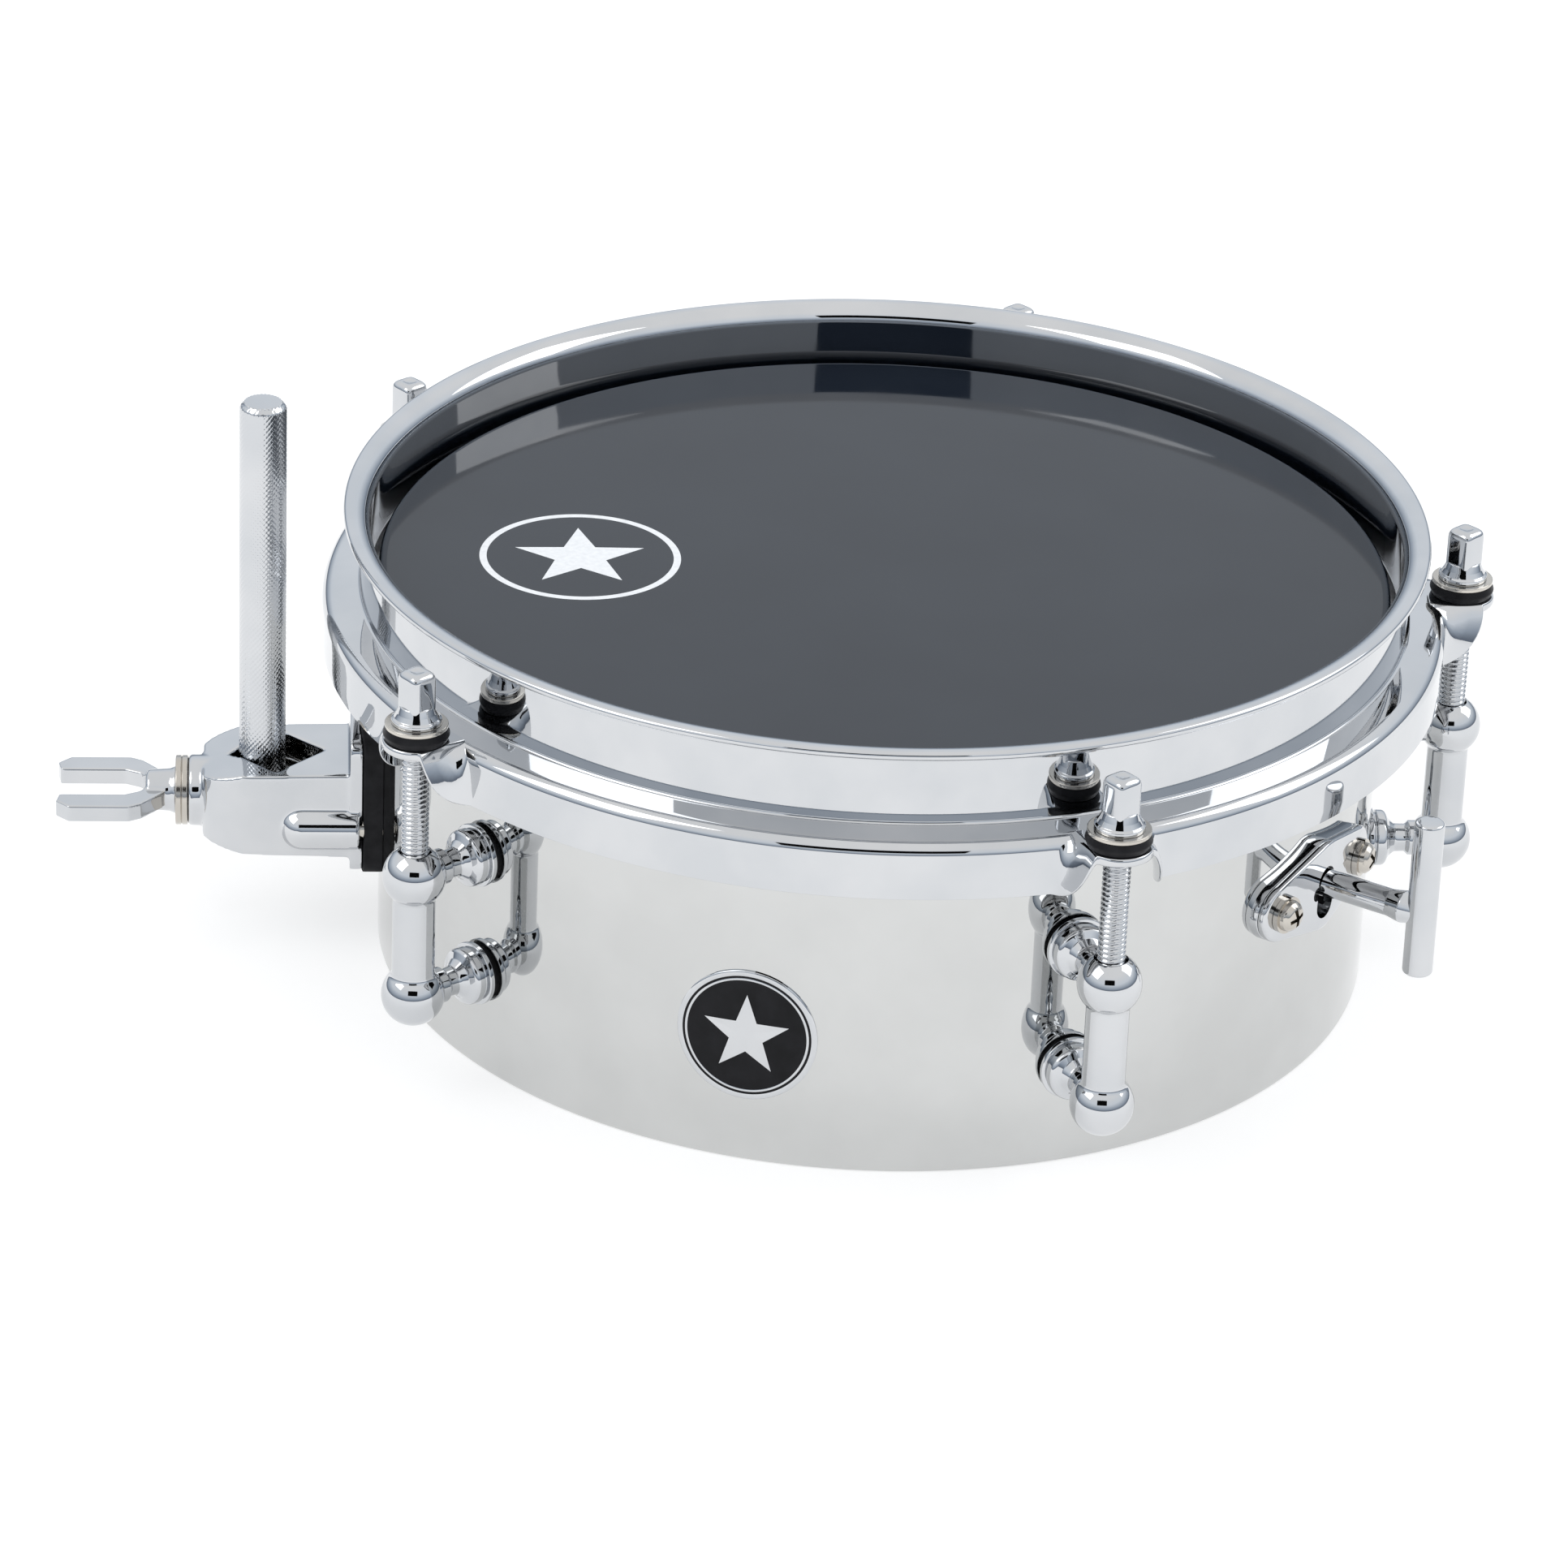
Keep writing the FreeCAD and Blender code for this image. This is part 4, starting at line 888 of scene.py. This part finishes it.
def make_t_handle():
    """Upright grip bar on a round stem that swells where it meets the bar."""
    bar_x = 125.4 * MM
    stem_z = -39.8 * MM
    bar = lathe(scaled(rounded([(0.05, -53.0, 0), (3.0, -53.0, 0.8), (3.0, -19.9, 0.8),
                                (0.05, -19.9, 0)])))
    bar = out_to(bar_x, bar)
    stem = lathe(scaled(rounded([(0.05, 92.1, 0), (2.7, 92.1, 0.4), (2.75, 118.4, 2.0),
                                 (3.3, 121.4, 1.6), (2.5, 125.0, 0.2), (0.05, 125.0, 0)])))
    stem = moved(stem, along_x(stem_z))
    add_piece("t_handle_detail", *at_strainer(merged([bar, stem])), chrome, "t_handle",
              "chrome", ["t_handle"])


# --- snare wires ------------------------------------------------------------------------
def coil(length, coil_radius, wire_radius, pitch, per_turn=10, sides=5):
    """Helical spring along +X, as a tube round the helix."""
    turns = length / pitch
    count = int(turns * per_turn)
    vertices = []
    for i in range(count + 1):
        angle = 2 * math.pi * i / per_turn
        x = -length / 2 + length * i / count
        for j in range(sides):
            around = 2 * math.pi * j / sides
            r = coil_radius + wire_radius * math.cos(around)
            vertices.append(Vector((x + wire_radius * math.sin(around),
                                    r * math.cos(angle), r * math.sin(angle))))
    return vertices, capped_faces(count + 1, sides)


def make_snares():
    """Coiled wires side by side, just under the film."""
    count = 12
    spacing = 3.2
    height = -1.75 * MM
    spring = coil(134.0 * MM, coil_radius=0.62 * MM, wire_radius=0.26 * MM, pitch=1.7 * MM)
    wires = []
    for k in range(count):
        y = (k - (count - 1) / 2) * spacing * MM
        wires.append(moved(spring, Matrix.Translation((0, y, height))))
    add_piece("snare_coils", *at_strainer(merged(wires)), wire_steel, "snares", "snare_steel",
              ["snare_wires"], sharp=180)


# --- CAD parts that keep their own shape ------------------------------------------------
def dress_cad_parts():
    """Finishes of the parts that keep their CAD mesh."""
    finishes = {
        "flesh_hoop": aluminium, "lug_screws": nickel, "lug_washers": nickel,
        "bracket_backing": zinc, "bracket_screws": nickel, "strainer_lock_washers": nickel,
        "strainer_nuts": nickel, "snare_carriage": zinc, "snare_beam": zinc,
        "snare_end_plates": zinc, "beam_rivets": nickel,
    }
    for node, material in finishes.items():
        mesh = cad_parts[node].data
        mesh.materials.clear()
        mesh.materials.append(material)


# --- studio -----------------------------------------------------------------------------
DRUM_MIDDLE = (0, 0, -0.03)      # what the cards and lights face


def add_camera():
    """Product view: from above the front, slightly rolled."""
    place = (-0.1155, -1.27102, 0.59484)
    look = Vector((0.06784, 0.88975, -0.45138))
    roll_angle = 2.304
    data = bpy.data.cameras.new("camera")
    data.lens = 160.97
    data.sensor_width = 36.0
    data.clip_start = 0.05
    data.clip_end = 20.0
    camera = bpy.data.objects.new("camera", data)
    bpy.context.scene.collection.objects.link(camera)
    aim = look.to_track_quat("-Z", "Y").to_matrix().to_4x4()
    roll = Matrix.Rotation(math.radians(roll_angle), 4, "Z")
    camera.matrix_world = Matrix.Translation(place) @ aim @ roll
    bpy.context.scene.camera = camera


def add_card(name, centre, facing, width, height, colour, only_gloss=False):
    """Flat studio card that faces a point. One for gloss is seen in reflections only."""
    x = width / 2
    y = height / 2
    mesh = bpy.data.meshes.new(name)
    mesh.from_pydata([(-x, -y, 0), (x, -y, 0), (x, y, 0), (-x, y, 0)], [], [(0, 1, 2, 3)])
    card = bpy.data.objects.new(name, mesh)
    bpy.context.scene.collection.objects.link(card)
    away = Vector(facing) - Vector(centre)
    card.matrix_world = (Matrix.Translation(centre)
                         @ away.to_track_quat("Z", "Y").to_matrix().to_4x4())
    material, _, _, shader = new_material(name)
    shader.inputs["Base Color"].default_value = (*colour, 1)
    shader.inputs["Roughness"].default_value = 1.0
    shader.inputs["Specular IOR Level"].default_value = 0.0
    mesh.materials.append(material)
    if only_gloss:
        card.visible_camera = False
        card.visible_diffuse = False
        card.visible_shadow = False
        card.visible_transmission = False
    return card


def add_softbox(name, place, width, height, watts):
    """White area light that faces the drum."""
    data = bpy.data.lights.new(name, "AREA")
    data.shape = "RECTANGLE"
    data.size = width
    data.size_y = height
    data.energy = watts
    light = bpy.data.objects.new(name, data)
    bpy.context.scene.collection.objects.link(light)
    toward = Vector(DRUM_MIDDLE) - Vector(place)
    light.matrix_world = (Matrix.Translation(place)
                          @ toward.to_track_quat("-Z", "Y").to_matrix().to_4x4())


def add_world():
    """White tent: bluer and darker towards the horizon, and the same below it as above."""
    world = bpy.data.worlds.new("tent")
    world.use_nodes = True
    nodes = world.node_tree.nodes
    links = world.node_tree.links
    where = nodes.new("ShaderNodeTexCoord")
    split = nodes.new("ShaderNodeSeparateXYZ")
    links.new(where.outputs["Generated"], split.inputs["Vector"])
    blend = nodes.new("ShaderNodeValToRGB")
    blend.color_ramp.elements[0].position = 0.0
    blend.color_ramp.elements[1].position = 0.75
    blend.color_ramp.elements[0].color = (0.17, 0.20, 0.25, 1)
    blend.color_ramp.elements[1].color = (1.0, 1.0, 1.0, 1)
    for height, colour in ((0.12, (0.42, 0.48, 0.56, 1)), (0.35, (0.86, 0.91, 0.97, 1))):
        blend.color_ramp.elements.new(height).color = colour
    height_above = nodes.new("ShaderNodeMath")
    height_above.operation = "ABSOLUTE"
    links.new(split.outputs["Z"], height_above.inputs[0])
    links.new(height_above.outputs["Value"], blend.inputs["Fac"])
    links.new(blend.outputs["Color"], nodes["Background"].inputs["Color"])
    nodes["Background"].inputs["Strength"].default_value = 1.0
    bpy.context.scene.world = world


def make_studio():
    """White floor that glows a little, a black card round the lens, and two softboxes."""
    floor_grey = 0.55
    floor_glow = 0.56
    black = 0.004
    floor_size = 8.0
    softbox_size = 1.2
    softbox_watts = 9.0
    bpy.context.scene.view_settings.view_transform = "Standard"
    add_world()
    floor = add_card("floor", (0, 0, SHELL_BOTTOM), (0, 0, 1), floor_size, floor_size,
                     grey(floor_grey))
    surface = floor.data.materials[0].node_tree.nodes["Principled BSDF"].inputs
    surface["Emission Color"].default_value = (1.0, 1.0, 1.0, 1)
    surface["Emission Strength"].default_value = floor_glow
    add_card("lens_card", (-0.13, -1.5, 0.72), DRUM_MIDDLE, width=1.0, height=0.5,
             colour=grey(black), only_gloss=True)
    add_softbox("softbox_left", (-1.5, -0.5, 1.5), softbox_size, softbox_size, softbox_watts)
    add_softbox("softbox_right", (1.6, 0.2, 1.3), softbox_size, softbox_size, softbox_watts)


# --- make everything --------------------------------------------------------------------
def make_drum():
    """Every piece of the drum."""
    make_shell()
    make_film()
    make_hoop()
    make_tension_rods()
    make_washers()
    make_lugs()
    make_lug_gaskets()
    make_head_print()
    make_badge()
    make_mount_rod()
    make_bracket()
    make_strainer_plates()
    make_strainer_screws()
    make_t_handle()
    make_snares()
    dress_cad_parts()


make_drum()
add_camera()
make_studio()
